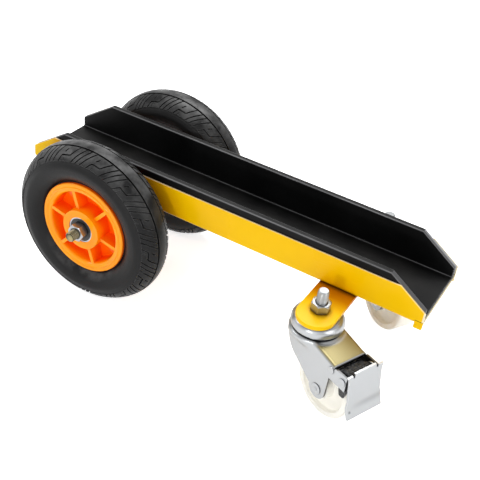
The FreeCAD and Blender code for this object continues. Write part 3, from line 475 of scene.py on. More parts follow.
def trough_corners(x, top, outer, inner, base, floor):
    """Corners of an upright trough section at each station, round the outside and back inside."""
    y = np.array((-outer, -outer, outer, outer, inner, inner, -inner, -inner))
    z = np.array((top, base, base, top, top, floor, floor, top))
    z = np.where(z == top, slope_top(x, top)[:, None], z)
    return np.stack(np.broadcast_arrays(y, z), -1)


def rim_share(steps):
    """Share of rim round a trough section: 1 along its two rims, 0 where they meet the walls."""
    fade = np.minimum(np.arange(steps) / 2.0, 1.0)
    share = np.zeros((8, steps))
    share[[3, 7]] = fade
    share[[0, 4]] = fade[::-1]
    return share.ravel()


def threaded_rod(shape, high, starts, low=None, share=1.0):
    """Rod along z with a thread beyond starts, coned at its ends.

    The thread's radius falls and rises once per pitch along a helix, its crests and roots cut flat.
    Without low the rod is the same both ways from its middle. With it comes how deep in the thread
    each point lies.
    """
    pitch = shape.thread_pitch / MM
    depth = share * (shape.thread_depth / MM)
    fine = np.arange(0, high - starts, pitch / 10)
    height = np.concatenate((starts + fine, [high - ROD_CHAMFER / 2, high]))
    before = -height[::-1] if low is None else np.linspace(low, starts, 5)[:-1]
    height = np.unique(np.concatenate((before, height)).round(4))
    angle = full_turn(56)
    phase = np.mod(height / pitch + angle / (2 * np.pi), 1.0)
    flank = np.clip(np.abs(2 * phase - 1) * 1.5 - 0.25, 0, 1)
    run_in = smooth((np.abs(height) - starts) / pitch)
    cut = ROD_RADIUS - depth * run_in * flank
    cone = np.minimum(ROD_RADIUS, ROD_RADIUS - ROD_CHAMFER + (high - np.abs(height)))
    skin = polar(np.minimum(cut, cone), angle, height)
    poles = np.zeros((len(angle), 1, 3))
    ends = (poles + (0, 0, height[0]), skin, poles + (0, 0, height[-1]))
    roots = np.pad((ROD_RADIUS - cut) / depth, ((0, 0), (1, 1)))
    return patch(np.concatenate(ends, 1), True, False), roots


def hexagon_nut(base=0.0):
    """Nut along z: the smaller of a hexagon's and two chamfer cones' radius, bored and countersunk."""
    angle = full_turn(192)
    flat = NUT_FLATS / 2
    hexagon = flat / np.cos(np.mod(angle, np.pi / 3) - np.pi / 6)
    hexagon = np.minimum(hexagon, flat / math.cos(math.pi / 6) * NUT_CORNER)
    rise = np.array([0.0, 0.12, 0.3, 0.5, 0.7, 0.9, 1.3])
    level = np.concatenate((rise, [NUT_HEIGHT / 2], NUT_HEIGHT - rise[::-1]))
    cone = flat * NUT_CORNER + np.minimum(level, NUT_HEIGHT - level) / math.tan(math.radians(NUT_CHAMFER))
    hole = np.ones_like(angle) * (NUT_BORE, NUT_BORE + NUT_SINK)
    radius = np.concatenate((hole, np.minimum(hexagon, cone), hole[:, ::-1]), 1)
    level = np.concatenate(([NUT_SINK, 0.0], level, [NUT_HEIGHT, NUT_HEIGHT - NUT_SINK])) + base
    return patch(polar(radius, angle, level), True, True)


# Node groups and finishes.


class Tree:
    """Adds and links the nodes of one material or group."""

    def __init__(self, tree):
        self.tree = tree

    def add(self, kind, inputs=None, **settings):
        """New node with settings, and with input sockets set or linked."""
        node = self.tree.nodes.new(kind)
        for name, value in settings.items():
            setattr(node, name, value)
        for name, value in (inputs or {}).items():
            self.feed(node.inputs[name], value)
        return node

    def feed(self, socket, value):
        """Links an output to a socket, or sets the socket's own value."""
        if isinstance(value, bpy.types.NodeSocket):
            self.tree.links.new(value, socket)
        else:
            socket.default_value = value

    def math(self, operation, first, second=0.0, third=0.0):
        """Result of one sum."""
        node = self.add("ShaderNodeMath", {0: first, 1: second, 2: third}, operation=operation)
        return node.outputs[0]

    def spread(self, value, low, high, start=0.0, end=1.0):
        """Maps start..end on to low..high, held at both ends."""
        sockets = {"Value": value, "From Min": start, "From Max": end, "To Min": low, "To Max": high}
        return self.add("ShaderNodeMapRange", sockets).outputs["Result"]

    def mix(self, factor, first, second, blend="MIX"):
        """Mixes two colours."""
        node = self.add("ShaderNodeMix", data_type="RGBA", blend_type=blend)
        for number, value in ((0, factor), (6, first), (7, second)):
            self.feed(node.inputs[number], value)
        return node.outputs[2]

    def noise(self, vector, scale, detail=3.0, roughness=0.55):
        """Even noise from 0 to 1."""
        sockets = {"Vector": vector, "Scale": scale, "Detail": detail, "Roughness": roughness}
        return self.add("ShaderNodeTexNoise", sockets).outputs["Fac"]

    def place(self):
        """Object coordinates, in metres."""
        return self.add("ShaderNodeTexCoord").outputs["Object"]


def new_group(name, inputs, outputs):
    """Empty shader group with number inputs and outputs; gives its tree, inputs and output node."""
    group = bpy.data.node_groups.new(name, "ShaderNodeTree")
    for label, default in inputs:
        socket = group.interface.new_socket(label, in_out="INPUT", socket_type="NodeSocketFloat")
        socket.default_value = default
    for label in outputs:
        group.interface.new_socket(label, in_out="OUTPUT", socket_type="NodeSocketFloat")
    tree = Tree(group)
    return tree, tree.add("NodeGroupInput").outputs, tree.add("NodeGroupOutput").inputs


def make_mottle_group():
    """Slow and fine unevenness of a surface, as two values round one half."""
    tree, given, out = new_group("mottle", (("Scale", 20.0), ("Fine Scale", 300.0)), ("Slow", "Fine"))
    place = tree.place()
    tree.feed(out["Slow"], tree.spread(tree.noise(place, given["Scale"], 4.0), 0.0, 1.0, 0.28, 0.72))
    tree.feed(out["Fine"], tree.spread(tree.noise(place, given["Fine Scale"], 2.0), 0.0, 1.0, 0.25, 0.75))


def make_edge_group():
    """Worn edges and painted edge highlights: where the rounded normal leaves the face's own normal, broken up by
    noise.
    """
    tree, given, out = new_group("edge_wear", (("Width", 0.0012), ("Amount", 1.0)), ("Mask",))
    rounded = tree.add("ShaderNodeBevel", {"Radius": given["Width"]}, samples=6).outputs["Normal"]
    own = tree.add("ShaderNodeNewGeometry").outputs["Normal"]
    dot = tree.add("ShaderNodeVectorMath", {0: rounded, 1: own}, operation="DOT_PRODUCT").outputs["Value"]
    edge = tree.spread(dot, 1.0, 0.0, 0.72, 0.985)
    broken = tree.spread(tree.noise(tree.place(), 260.0, 4.0), 0.25, 1.0, 0.35, 0.62)
    tree.feed(out["Mask"], tree.math("MULTIPLY", tree.math("MULTIPLY", edge, broken), given["Amount"]))


def make_scratch_group():
    """Fine rubbed lines: noise drawn out along one axis and cut to thin streaks."""
    tree, given, out = new_group("rub_marks", (("Stretch", 40.0), ("Scale", 60.0)), ("Mask",))
    scale = tree.add("ShaderNodeCombineXYZ", {"X": 1.0, "Y": given["Stretch"], "Z": given["Stretch"]})
    drawn = tree.add("ShaderNodeVectorMath", {0: tree.place(), 1: scale.outputs[0]}, operation="MULTIPLY")
    streak = tree.noise(drawn.outputs[0], given["Scale"], 2.0, 0.6)
    tree.feed(out["Mask"], tree.spread(streak, 0.0, 1.0, 0.6, 0.74))


def make_crevice_group():
    """Grime and shade in corners: how far a point is closed in by its surroundings."""
    tree, given, out = new_group("crevice", (("Reach", 0.004), ("Amount", 1.0)), ("Mask",))
    closed = tree.add("ShaderNodeAmbientOcclusion", {"Distance": given["Reach"]}, samples=8).outputs["AO"]
    tree.feed(out["Mask"], tree.math("MULTIPLY", tree.spread(closed, 1.0, 0.0, 0.3, 0.95), given["Amount"]))


def make_dust_group():
    """Dust, and painted sheen, on upward faces, patchy."""
    tree, given, out = new_group("dust_and_sheen", (("Amount", 0.3), ("Scale", 14.0)), ("Mask",))
    normal = tree.add("ShaderNodeNewGeometry").outputs["Normal"]
    up = tree.add("ShaderNodeSeparateXYZ", {0: normal}).outputs["Z"]
    patchy = tree.spread(tree.noise(tree.place(), given["Scale"], 5.0), 0.0, 1.0, 0.4, 0.7)
    fall = tree.math("MULTIPLY", tree.spread(up, 0.0, 1.0, 0.3, 1.0), patchy)
    tree.feed(out["Mask"], tree.math("MULTIPLY", fall, given["Amount"]))


GROUPS = {
    "mottle": make_mottle_group,
    "edge_wear": make_edge_group,
    "rub_marks": make_scratch_group,
    "crevice": make_crevice_group,
    "dust_and_sheen": make_dust_group,
}


def new_material(name):
    """New material and the inputs of its Principled shader."""
    material = bpy.data.materials.new(name)
    material.use_nodes = True
    return material, material.node_tree.nodes["Principled BSDF"].inputs


class Finish(Tree):
    """A material in the making: its nodes, its unevenness and the colour that it has so far."""

    def __init__(self, name, low, high, scale, fine_scale, share=1.0):
        """Starts from two colours, mixed by a share of a slow mottle."""
        self.material, self.sockets = new_material(name)
        super().__init__(self.material.node_tree)
        mottle = self.effect("mottle", scale=scale, fine_scale=fine_scale)
        self.slow = mottle["Slow"]
        self.fine = mottle["Fine"]
        mixed = self.slow if share == 1.0 else self.spread(self.slow, 0.0, share)
        self.base = self.mix(mixed, colour(low), colour(high))

    def effect(self, name, **values):
        """Outputs of one of the shared effects, which is built when first asked for."""
        if name not in bpy.data.node_groups:
            GROUPS[name]()
        node = self.add("ShaderNodeGroup", node_tree=bpy.data.node_groups[name])
        for label, value in values.items():
            node.inputs[label.replace("_", " ").title()].default_value = value
        return node.outputs

    def mask(self, name, **values):
        """Mask of a shared effect."""
        return self.effect(name, **values)["Mask"]

    def mark(self, label):
        """Values that a mesh carries at its points, 0 where it has none."""
        return self.add("ShaderNodeAttribute", attribute_name=label).outputs["Fac"]

    def lay(self, mask, tint):
        """Lays a colour over the others as far as a mask says."""
        self.base = self.mix(mask, self.base, colour(tint))

    def done(self, rough, bump, height, even=()):
        """Feeds colour, roughness and a fine bump to the shader, and sets its even sockets."""
        sockets = {"Height": self.fine, "Strength": bump, "Distance": height}
        normal = self.add("ShaderNodeBump", sockets).outputs["Normal"]
        values = {"Base Color": self.base, "Roughness": rough, "Normal": normal, **dict(even)}
        for label, value in values.items():
            self.feed(self.sockets[label], value)
        return self.material


def colour(value):
    """Display colour as a socket value."""
    return (*linear(value), 1.0)


def yellow_enamel(tones):
    """Gloss yellow enamel on steel: slight orange peel, thin paint along its edges, painted shade in corners."""
    paint = Finish("yellow_enamel", tones.yellow_deep, tones.yellow, scale=9.0, fine_scale=420.0)
    paint.lay(paint.mask("edge_wear", width=0.0011, amount=0.5), tones.yellow_edge)
    shaded = paint.mask("crevice", reach=0.03, amount=0.6)
    paint.lay(paint.math("MAXIMUM", shaded, paint.mark("shade")), tones.yellow_shade)
    # Painted shade in corners.
    paint.lay(paint.mask("crevice", reach=0.006, amount=0.9), tones.yellow_corner_shade)
    # Pale cut edges, with painted highlights on the rims and cut ends.
    paint.lay(paint.mark("wear"), tones.cut_edge_and_highlight)
    rub = paint.mask("rub_marks", stretch=30.0, scale=42.0)
    rough = paint.math("MULTIPLY_ADD", rub, 0.1, paint.spread(paint.slow, 0.24, 0.36))
    return paint.done(rough, bump=0.08, height=0.0002, even={SPECULAR: 0.12})


def liner_rubber(tones):
    """Smooth moulded black rubber with a matt bloom, painted rim highlights and a little settled dirt."""
    rubber = Finish("liner_rubber", tones.liner_black, tones.liner_bloom, scale=14.0, fine_scale=900.0)
    # Worn edges, and painted highlights on the rims and corner lines.
    edge = rubber.mask("edge_wear", width=0.002, amount=1.0)
    rim_highlight = rubber.math("MULTIPLY", rubber.mark("wear"), rubber.spread(rubber.slow, 0.55, 1.0))
    rubber.lay(rubber.math("MAXIMUM", edge, rim_highlight), tones.liner_edge)
    rubber.lay(rubber.mask("dust_and_sheen", amount=0.045, scale=22.0), tones.dust_and_sheen)
    rough = rubber.spread(rubber.slow, 0.42, 0.55)
    return rubber.done(rough, bump=0.1, height=0.0002, even={SPECULAR: 0.12})


def tyre_rubber(tones):
    """Black tyre rubber: matt, finely pitted, paler at scuffs and painted sheen, painted shade in the grooves."""
    rubber = Finish("tyre_rubber", tones.tyre_black, tones.tyre_grey, scale=26.0, fine_scale=1100.0)
    # Scuffs, and painted sheen, on the tread's edges.
    rubber.lay(rubber.mask("edge_wear", width=0.0011, amount=0.9), tones.tyre_scuff_and_sheen)
    # Painted sheen on the tread's upward faces.
    rubber.lay(rubber.mask("dust_and_sheen", amount=1.2, scale=40.0), tones.tyre_scuff_and_sheen)
    # Painted shade deep in the tread.
    rubber.lay(rubber.mask("crevice", reach=0.003, amount=0.6), tones.tyre_groove_shade)
    rough = rubber.math("MULTIPLY_ADD", rubber.mark("wear"), -0.06, rubber.spread(rubber.fine, 0.32, 0.46))
    rough = rubber.math("MULTIPLY_ADD", rubber.slow, 0.08, rough)
    return rubber.done(rough, bump=0.25, height=0.00035, even={SPECULAR: 0.15})


def orange_plastic(tones):
    """Satin moulded orange plastic with flow marks, a fine moulded grain and painted shade in the pockets."""
    plastic = Finish("orange_plastic", tones.orange_deep, tones.orange, scale=30.0, fine_scale=700.0)
    plastic.lay(plastic.mask("edge_wear", width=0.0014, amount=0.55), tones.orange_edge)
    # Painted shade deep in the pockets.
    plastic.lay(plastic.mask("crevice", reach=0.022, amount=0.9), tones.orange_pocket_shade)
    even = {SPECULAR: 0.06, "Coat Weight": 0.25, "Coat Roughness": 0.08}
    rough = plastic.spread(plastic.slow, 0.16, 0.26)
    return plastic.done(rough, bump=0.05, height=0.0002, even=even)


def zinc_plate(tones, name="zinc_plate", tint=None, low=0.28, high=0.37):
    """Bright zinc plate: cloudy gloss, faint tints, rub marks, polished edges, painted shade and reflection."""
    plate = Finish(name, tint or tones.zinc, tones.zinc_straw, scale=20.0, fine_scale=520.0, share=0.5)
    edge = plate.mask("edge_wear", width=0.0009, amount=0.8)
    # Painted reflection of the yellow channel where a piece marks it.
    plate.lay(plate.mark("straw"), tones.straw)
    plate.lay(edge, tones.zinc_edge)
    # Dirt and painted shade in corners, and painted shade where a piece marks it.
    grime_and_shade = plate.mask("crevice", reach=0.005, amount=0.9)
    plate.lay(plate.math("MAXIMUM", grime_and_shade, plate.mark("dull")), tones.zinc_grime_and_shade)
    rub = plate.mask("rub_marks", stretch=24.0, scale=70.0)
    rough = plate.math("MULTIPLY_ADD", rub, 0.04, plate.spread(plate.slow, low, high))
    rough = plate.math("MULTIPLY_ADD", edge, -0.08, rough)
    return plate.done(rough, bump=0.008, height=0.0001, even={"Metallic": 1.0})


def white_nylon(tones):
    """Creamy white nylon, satin and faintly clouded."""
    nylon = Finish("white_nylon", tones.nylon_shade, tones.nylon, scale=40.0, fine_scale=800.0)
    rough = nylon.spread(nylon.slow, 0.34, 0.48)
    return nylon.done(rough, bump=0.1, height=0.0002, even={SPECULAR: 0.2})


def black_plastic(tones):
    """Matt black moulded plastic with a pitted skin and greyed edges."""
    plastic = Finish("black_plastic", tones.block_black, tones.block_grey, scale=260.0, fine_scale=480.0)
    plastic.lay(plastic.mask("edge_wear", width=0.0006, amount=0.8), tones.block_edge)
    rough = plastic.spread(plastic.slow, 0.18, 0.5)
    return plastic.done(rough, bump=0.8, height=0.0008, even={SPECULAR: 0.35})


def seal_rubber(tones):
    """Dull black seal rubber with a light greasy film."""
    seal = Finish("seal_rubber", tones.liner_black, tones.seal_film, scale=160.0, fine_scale=1200.0)
    return seal.done(seal.spread(seal.fine, 0.4, 0.6), bump=0.15, height=0.0002)


def bearing_steel(tones):
    """Ground bearing steel, brighter and smoother than the plated pieces."""
    return zinc_plate(tones, "bearing_steel", tones.bearing, low=0.1, high=0.2)


def plated_axle(tones):
    """Yellow passivated zinc on the cross axle."""
    return zinc_plate(tones, "plated_axle", tones.passivated, low=0.26, high=0.42)


FINISHES = {
    "yellow_steel": yellow_enamel,
    "liner_rubber": liner_rubber,
    "tyre_rubber": tyre_rubber,
    "orange_plastic": orange_plastic,
    "zinc_steel": zinc_plate,
    "plated_axle": plated_axle,
    "bearing_steel": bearing_steel,
    "seal_rubber": seal_rubber,
    "white_nylon": white_nylon,
    "black_plastic": black_plastic,
}
MADE = {}


def finish_for(slot):
    """Material of one of the record's slots, made once."""
    if slot not in MADE:
        MADE[slot] = FINISHES[slot](bpy.context.scene.dolly_finish)
    return MADE[slot]


# Sizes and colours that can be changed.


def length(name, text, default):
    """Length property in metres from a default in millimetres."""
    return FloatProperty(
        name=name, description=text, default=default * MM, min=0.0, unit="LENGTH", precision=5)


def tone(name, text, default):
    """Display colour property."""
    return FloatVectorProperty(
        name=name, description=text, default=default, size=3, min=0.0, max=1.0, subtype="COLOR_GAMMA")


def power(name, text, default):
    """Power of a lamp in watts."""
    return FloatProperty(name=name, description=text, default=default, unit="POWER")


class DollyShape(PropertyGroup):
    """Sizes of the detail that the solids leave out."""

    sheet_edge: length("Sheet edge", "Edge radius of the cut steel sheet", 0.6)
    liner_edge: length("Liner edge", "Edge radius of the rubber's rims", 1.3)
    thread_pitch: length("Thread pitch", "Pitch of the M12 threads", 1.75)
    thread_depth: length("Thread depth", "Depth of the M12 threads", 0.6)
    tread_depth: length("Tread depth", "Depth of the tyre's grooves", 2.2)
    groove_width: length("Groove width", "Width of the tyre's slanted grooves", 1.3)
    tread_units: IntProperty(
        name="Tread units", description="Repeats of the tread's pattern round a tyre", default=14, min=4)
    tread_slant: FloatProperty(
        name="Tread slant", description="Run of the grooves along the tyre for each unit across it",
        default=0.7, subtype="FACTOR", min=-2.0, max=2.0)
    hub_fillet: length("Hub fillet", "Rounding of the hub's ribs and boss", 1.2)


class DollyFinish(PropertyGroup):
    """Colours of the finishes, as they look on a display."""

    yellow: tone("Yellow", "Enamel of the steel", (0.96, 0.775, 0.0))
    yellow_deep: tone("Deep yellow", "Enamel where it lies thick", (0.95, 0.74, 0.0))
    yellow_edge: tone("Yellow edge", "Enamel worn thin on edges", (0.98, 0.88, 0.4))
    yellow_shade: tone("Yellow shade", "Enamel in the shade of other parts", (0.74, 0.41, 0.0))
    # Painted shade in the enamel's corners.
    yellow_corner_shade: tone("Yellow grime", "Enamel in corners", (0.3, 0.15, 0.0))
    # Also a painted highlight on the channel's rims and cut ends.
    cut_edge_and_highlight: tone("Cut edge", "Thin paint on the sheet's cut edges", (0.95, 0.93, 0.84))
    liner_black: tone("Liner black", "Rubber of the trough", (0.012, 0.012, 0.0125))
    liner_bloom: tone("Liner bloom", "Dull film on the trough's rubber", (0.03, 0.03, 0.031))
    # Painted highlight on the trough's rims and corner lines, with worn edges.
    liner_edge: tone("Liner edge", "Rubbed rim of the trough", (0.7, 0.7, 0.71))
    tyre_black: tone("Tyre black", "Rubber of the tyres", (0.06, 0.06, 0.061))
    tyre_grey: tone("Tyre grey", "Weathered rubber of the tyres", (0.09, 0.09, 0.092))
    # Also painted sheen on the tread's edges and upward faces.
    tyre_scuff_and_sheen: tone("Tyre scuff", "Scuffed edges of the tread", (0.4, 0.4, 0.4))
    orange: tone("Orange", "Plastic of the hubs", (1.0, 0.64, 0.04))
    orange_deep: tone("Deep orange", "Flow marks in the hubs", (1.0, 0.61, 0.02))
    # Painted shade deep in the hubs' pockets.
    orange_pocket_shade: tone("Orange red", "Plastic seen deep in the pockets", (1.0, 0.3, 0.0))
    orange_edge: tone("Orange edge", "Rubbed edges of the hubs", (1.0, 0.72, 0.32))
    zinc: tone("Zinc", "Bright plating", (0.64, 0.65, 0.66))
    zinc_straw: tone("Straw zinc", "Straw tint of the plating", (0.63, 0.635, 0.63))
    # Painted reflection of the yellow channel on the fork's plate.
    straw: tone("Straw", "Straw reflection on the fork's plate", (0.545, 0.51, 0.37))
    zinc_edge: tone("Zinc edge", "Polished edges of the plating", (0.82, 0.82, 0.83))
    # Dirt and painted shade in corners and on shaded faces.
    zinc_grime_and_shade: tone("Zinc grime", "Dull plating and grime in corners", (0.13, 0.13, 0.135))
    passivated: tone("Passivated zinc", "Yellow plating of the axle", (0.55, 0.5, 0.29))
    nylon: tone("Nylon", "Caster wheels", (0.99, 0.98, 0.95))
    nylon_shade: tone("Nylon shade", "Clouds in the nylon of the caster wheels", (0.975, 0.965, 0.925))
    dust_and_sheen: tone("Dust", "Dust in the trough", (0.45, 0.44, 0.42))
    # Painted shade deep in the tread.
    tyre_groove_shade: tone("Tyre grime", "Depths of the tread", (0.01, 0.01, 0.01))
    bearing: tone("Bearing steel", "Ground steel of the bearings", (0.72, 0.72, 0.73))
    seal_film: tone("Seal film", "Greasy film on the seals", (0.12, 0.115, 0.11))
    block_black: tone("Block black", "Plastic of the brake block", (0.02, 0.02, 0.02))
    block_grey: tone("Block grey", "Worn plastic of the brake block", (0.15, 0.155, 0.16))
    block_edge: tone("Block edge", "Greyed edges of the brake block", (0.3, 0.3, 0.29))


class DollyStage(PropertyGroup):
    """Camera and light."""

    lens: FloatProperty(
        name="Lens", description="Focal length on a 36 mm sensor", default=65.316, unit="CAMERA")
    key_power: power("Overhead light", "Power of the wide overhead lamp", 27.0)
    fill_power: power("Front light", "Power of the soft front lamp", 5.0)
    end_power: power("End light", "Power of the soft lamp beyond the casters", 8.5)
    edge_power: power("Edge light", "Power of the small lamp that lights edges", 6.5)
    side_power: power("Side light", "Power of the lamp beside the wheels", 6.0)
    world_level: FloatProperty(
        name="Surroundings", description="Level of the white surroundings", default=0.5, min=0.0)
    floor_glow: FloatProperty(
        name="Floor lift", description="Light added to the floor where it shows", default=0.75, min=0.0)
    floor: tone("Floor", "Colour of the floor", (0.95, 0.95, 0.955))


class StageOperator(Operator):
    """Sets up the floor, the soft light and the camera at the viewing angle"""

    bl_idname = "dolly.make_stage"
    bl_label = "Stage"

    def execute(self, context):
        stage = context.scene.dolly_stage
        make_floor(stage)
        make_world(stage)
        make_lamp("overhead_light", (-0.25, 0.75, 1.65), MIDDLE, 1.1, stage.key_power)
        make_lamp("front_light", (0.55, -1.6, 0.9), MIDDLE, 1.3, stage.fill_power)
        make_lamp("end_light", (1.7, -0.4, 0.7), MIDDLE, 0.8, stage.end_power)
        make_lamp("edge_light", (0.1, -1.9, 0.42), WHEEL_SIDE, 0.14, stage.edge_power)
        make_lamp("side_light", (-1.4, -0.8, 1.0), WHEEL_SIDE, 0.3, stage.side_power)
        make_camera(stage)
        context.scene.view_settings.view_transform = "Standard"
        return {"FINISHED"}


def seen_rays(tree):
    """1 for rays that show the background as it is: from the camera, in gloss and through glass."""
    path = tree.add("ShaderNodeLightPath").outputs
    gloss = tree.math("MAXIMUM", path["Is Camera Ray"], path["Is Glossy Ray"])
    return tree.math("MAXIMUM", gloss, path["Is Transmission Ray"])


def make_floor(stage):
    """Level floor sheet under the wheels, pale, and lifted to white where it shows."""
    reach = np.linspace(-FLOOR_REACH, FLOOR_REACH, 5)
    x, y = np.meshgrid(reach, reach, indexing="ij")
    grid = np.stack((x, y, 0 * x), -1) / MM
    row = Place((0, 0, FLOOR_LEVEL), (1, 0, 0), (0, 1, 0), (0, 0, 1))
    mesh = build_mesh("floor", [patch(grid)], row, closed=False)
    floor = bpy.data.objects.new("floor", mesh)
    bpy.context.scene.collection.objects.link(floor)
    material, sockets = new_material("pale_floor")
    tree = Tree(material.node_tree)
    glow = tree.spread(seen_rays(tree), 0.0, stage.floor_glow)
    values = {
        "Base Color": colour(stage.floor), "Roughness": 0.9, SPECULAR: 0.0,
        "Emission Color": WHITE, "Emission Strength": glow,
    }
    for label, value in values.items():
        tree.feed(sockets[label], value)
    mesh.materials.append(material)


def make_world(stage):
    """Even, soft light, brighter overhead than at the horizon, and white where it shows."""
    world = bpy.data.worlds.new("studio")
    world.use_nodes = True
    tree = Tree(world.node_tree)
    background = world.node_tree.nodes["Background"]
    direction = tree.add("ShaderNodeTexCoord").outputs["Generated"]
    up = tree.add("ShaderNodeSeparateXYZ", {0: direction}).outputs["Z"]
    level = tree.spread(up, 0.6 * stage.world_level, stage.world_level, 0.0, 0.9)
    background.inputs["Color"].default_value = WHITE
    tree.feed(background.inputs["Strength"], tree.math("MAXIMUM", level, seen_rays(tree)))
    bpy.context.scene.world = world


def set_up(thing, axes, position):
    """Links a lamp or the camera into the scene at a position, turned to its three axes."""
    turn = np.eye(4)
    turn[:3, :3] = np.stack(axes, 1)
    turn[:3, 3] = position
    thing.matrix_world = Matrix(turn.tolist())
    bpy.context.scene.collection.objects.link(thing)


def make_lamp(name, position, target, size, power):
    """Square soft lamp at a position, facing a target."""
    lamp = bpy.data.objects.new(name, bpy.data.lights.new(name, "AREA"))
    lamp.data.size = size
    lamp.data.energy = power
    back = np.array(position, float) - np.array(target, float)
    back /= np.linalg.norm(back)
    side = np.cross((0.0, 1.0, 0.0), back)
    side /= np.linalg.norm(side)
    set_up(lamp, (side, np.cross(back, side), back), position)


def make_camera(stage):
    """Camera beside the dolly, by its azimuth, its dip and its roll in the deck frame."""
    azimuth, dip, roll = np.radians(CAMERA_TURN)
    level = np.array((np.cos(azimuth), np.sin(azimuth), 0.0))
    ahead = np.array((-np.sin(azimuth) * np.cos(dip), np.cos(azimuth) * np.cos(dip), -np.sin(dip)))
    upright = np.cross(level, ahead)
    right = np.cos(roll) * level + np.sin(roll) * upright
    up = np.cos(roll) * upright - np.sin(roll) * level
    camera = bpy.data.objects.new("camera", bpy.data.cameras.new("camera"))
    camera.data.lens = stage.lens
    camera.data.sensor_width = 36.0
    camera.data.clip_start = 0.01
    set_up(camera, np.stack((right, up, -ahead)) @ DECK.axes, DECK.to_row(CAMERA_PLACE))
    bpy.context.scene.camera = camera


class ChannelOperator(Operator):
    """Builds the bent steel channel and the cross plate under it"""

    bl_idname = "dolly.make_channel"
    bl_label = "Channel and cross plate"

    def execute(self, context):
        patches, wear, shade = channel_patches()
        channel = make_piece(
            "channel_sheet", patches, DECK, "deck", "yellow_steel", "channel_frame", wear=wear, shade=shade)
        soften_edges(channel, context.scene.dolly_shape.sheet_edge / MM)
        bar, shade = plate_patch()
        station = DECK.moved(STUD_STATION, 0, 0)
        make_piece("cross_plate", [bar], station, "deck", "yellow_steel", "caster_cross_plate", shade=shade)
        return {"FINISHED"}


def channel_patches():
    """Channel section with round bends carried along x, and its two front tabs.

    With them come how pale each point of the section is painted, high on the cut edges for thin
    paint and along the rims for painted highlights, and how far the rear wheels shade it.
    """
    x = deck_stations(WALL_HEIGHT)
    inner = CHANNEL_HALF - SHEET
    corners = trough_corners(x, WALL_HEIGHT, CHANNEL_HALF, inner, 0.0, SHEET)
    radii = (0.7, 4.0, 4.0, 0.7, 0.7, 2.0, 2.0, 0.7)
    steps = 6
    patches = [sweep_along(rounded_loop(corners, radii, steps), x)]
    far = np.abs(x)[:, None]
    # Pale rims and cut ends: thin paint on the cut edges, and painted highlights along the rims, brightest on the
    # far wall's slopes.
    rim_wear_and_highlight = np.repeat((0.3, 0, 0, 1.0, 1.0, 0, 0, 0.3), steps)
    wear = rim_share(steps) * np.where(far > slope_start(WALL_HEIGHT), rim_wear_and_highlight, 0.4)
    wear = np.maximum(wear, 0.75 * (far >= DECK_HALF - LINER_SETBACK))
    back, front = DECK_HALF - TAB_LENGTH, DECK_HALF
    plan = ((back, -TAB_DROP), (front, -TAB_DROP), (front, TAB_TOP), (back, TAB_TOP))
    loop = rounded_loop(plan, (1.2, 1.2, 0.3, 0.3), 5)
    patches += [upright_slab(loop, low, SHEET, 0.3) for low in (-CHANNEL_HALF, inner)]
    shade = smooth((WHEEL_SHADE[1] - x) / 42.0) * smooth((x - WHEEL_SHADE[0]) / 20.0)
    return patches, wear, np.broadcast_to(shade[:, None], wear.shape)


def plate_patch():
    """Flat bar with round ends: offsets of its middle line, from nothing over a rounded rim to nothing.

    With it comes how shaded each point is by the channel above.
    """
    right = -RIGHT_STUD - EAR_REACH + PLATE_HALF
    left = LEFT_STUD + EAR_REACH - PLATE_HALF
    turn = np.linspace(0, np.pi, 49)
    side = np.linspace(left, right, 18)[1:-1]
    angle = np.concatenate((turn, np.pi + 0 * side, turn + np.pi, 2 * np.pi + 0 * side))[:, None]
    middle = np.concatenate((left + 0 * turn, side, right + 0 * turn, side[::-1]))[:, None]
    draw, lift = quarter_round(PLATE_EDGE, 5)
    rim = PLATE_HALF - draw
    radius = np.concatenate(([0.0], rim, rim[::-1], [0.0]))
    level = np.concatenate(([0.0], lift, PLATE_THICKNESS - lift[::-1], [PLATE_THICKNESS]))
    grid = polar(radius, angle, level - PLATE_THICKNESS) + middle[..., None] * (0, 1, 0)
    shade = 0.95 * smooth((CHANNEL_HALF + EAR_SHADE - np.abs(grid[..., 1])) / 36.0)
    return patch(grid, True, False), shade


class LinerOperator(Operator):
    """Builds the rubber trough that lies in the channel"""

    bl_idname = "dolly.make_liner"
    bl_label = "Rubber liner"

    def execute(self, context):
        trough, wear = liner_patch(context.scene.dolly_shape.liner_edge / MM)
        liner = make_piece("liner_trough", [trough], DECK, "deck", "liner_rubber", "rubber_liner", wear=wear)
        soften_edges(liner, LINER_END_EDGE)
        return {"FINISHED"}


def liner_patch(edge):
    """Trough section with thick walls and rounded rims, carried along x and sloped at both ends.

    With it comes the painted highlight at each point, high along the rims and the lines of the corners.
    """
    end = DECK_HALF - LINER_SETBACK
    x = np.unique(np.clip(deck_stations(LINER_TOP), -end, end))
    outer = CHANNEL_HALF - SHEET
    corners = trough_corners(x, LINER_TOP, outer, outer - LINER_WALL, SHEET, SHEET + LINER_FLOOR)
    radii = (edge, 2.5, 2.5, edge, edge, 1.0, 1.0, edge)
    steps = 7
    crest = np.sin(np.linspace(0, np.pi, steps))
    # Painted highlight lines on the rims and floor folds, brighter on the far wall's slopes.
    lines = (np.array((0.45, 0, 0, 0.45, 0.45, 0.25, 0.25, 0.45))[:, None] * crest).ravel()
    rim_wear_and_highlight = rim_share(steps) * np.repeat((0.22, 0, 0, 1.0, 0.15, 0, 0, 0.22), steps)
    sloped = np.abs(x)[:, None] > slope_start(LINER_TOP)
    wear = np.where(sloped, np.maximum(lines, rim_wear_and_highlight), lines)
    return sweep_along(rounded_loop(corners, radii, steps), x), wear


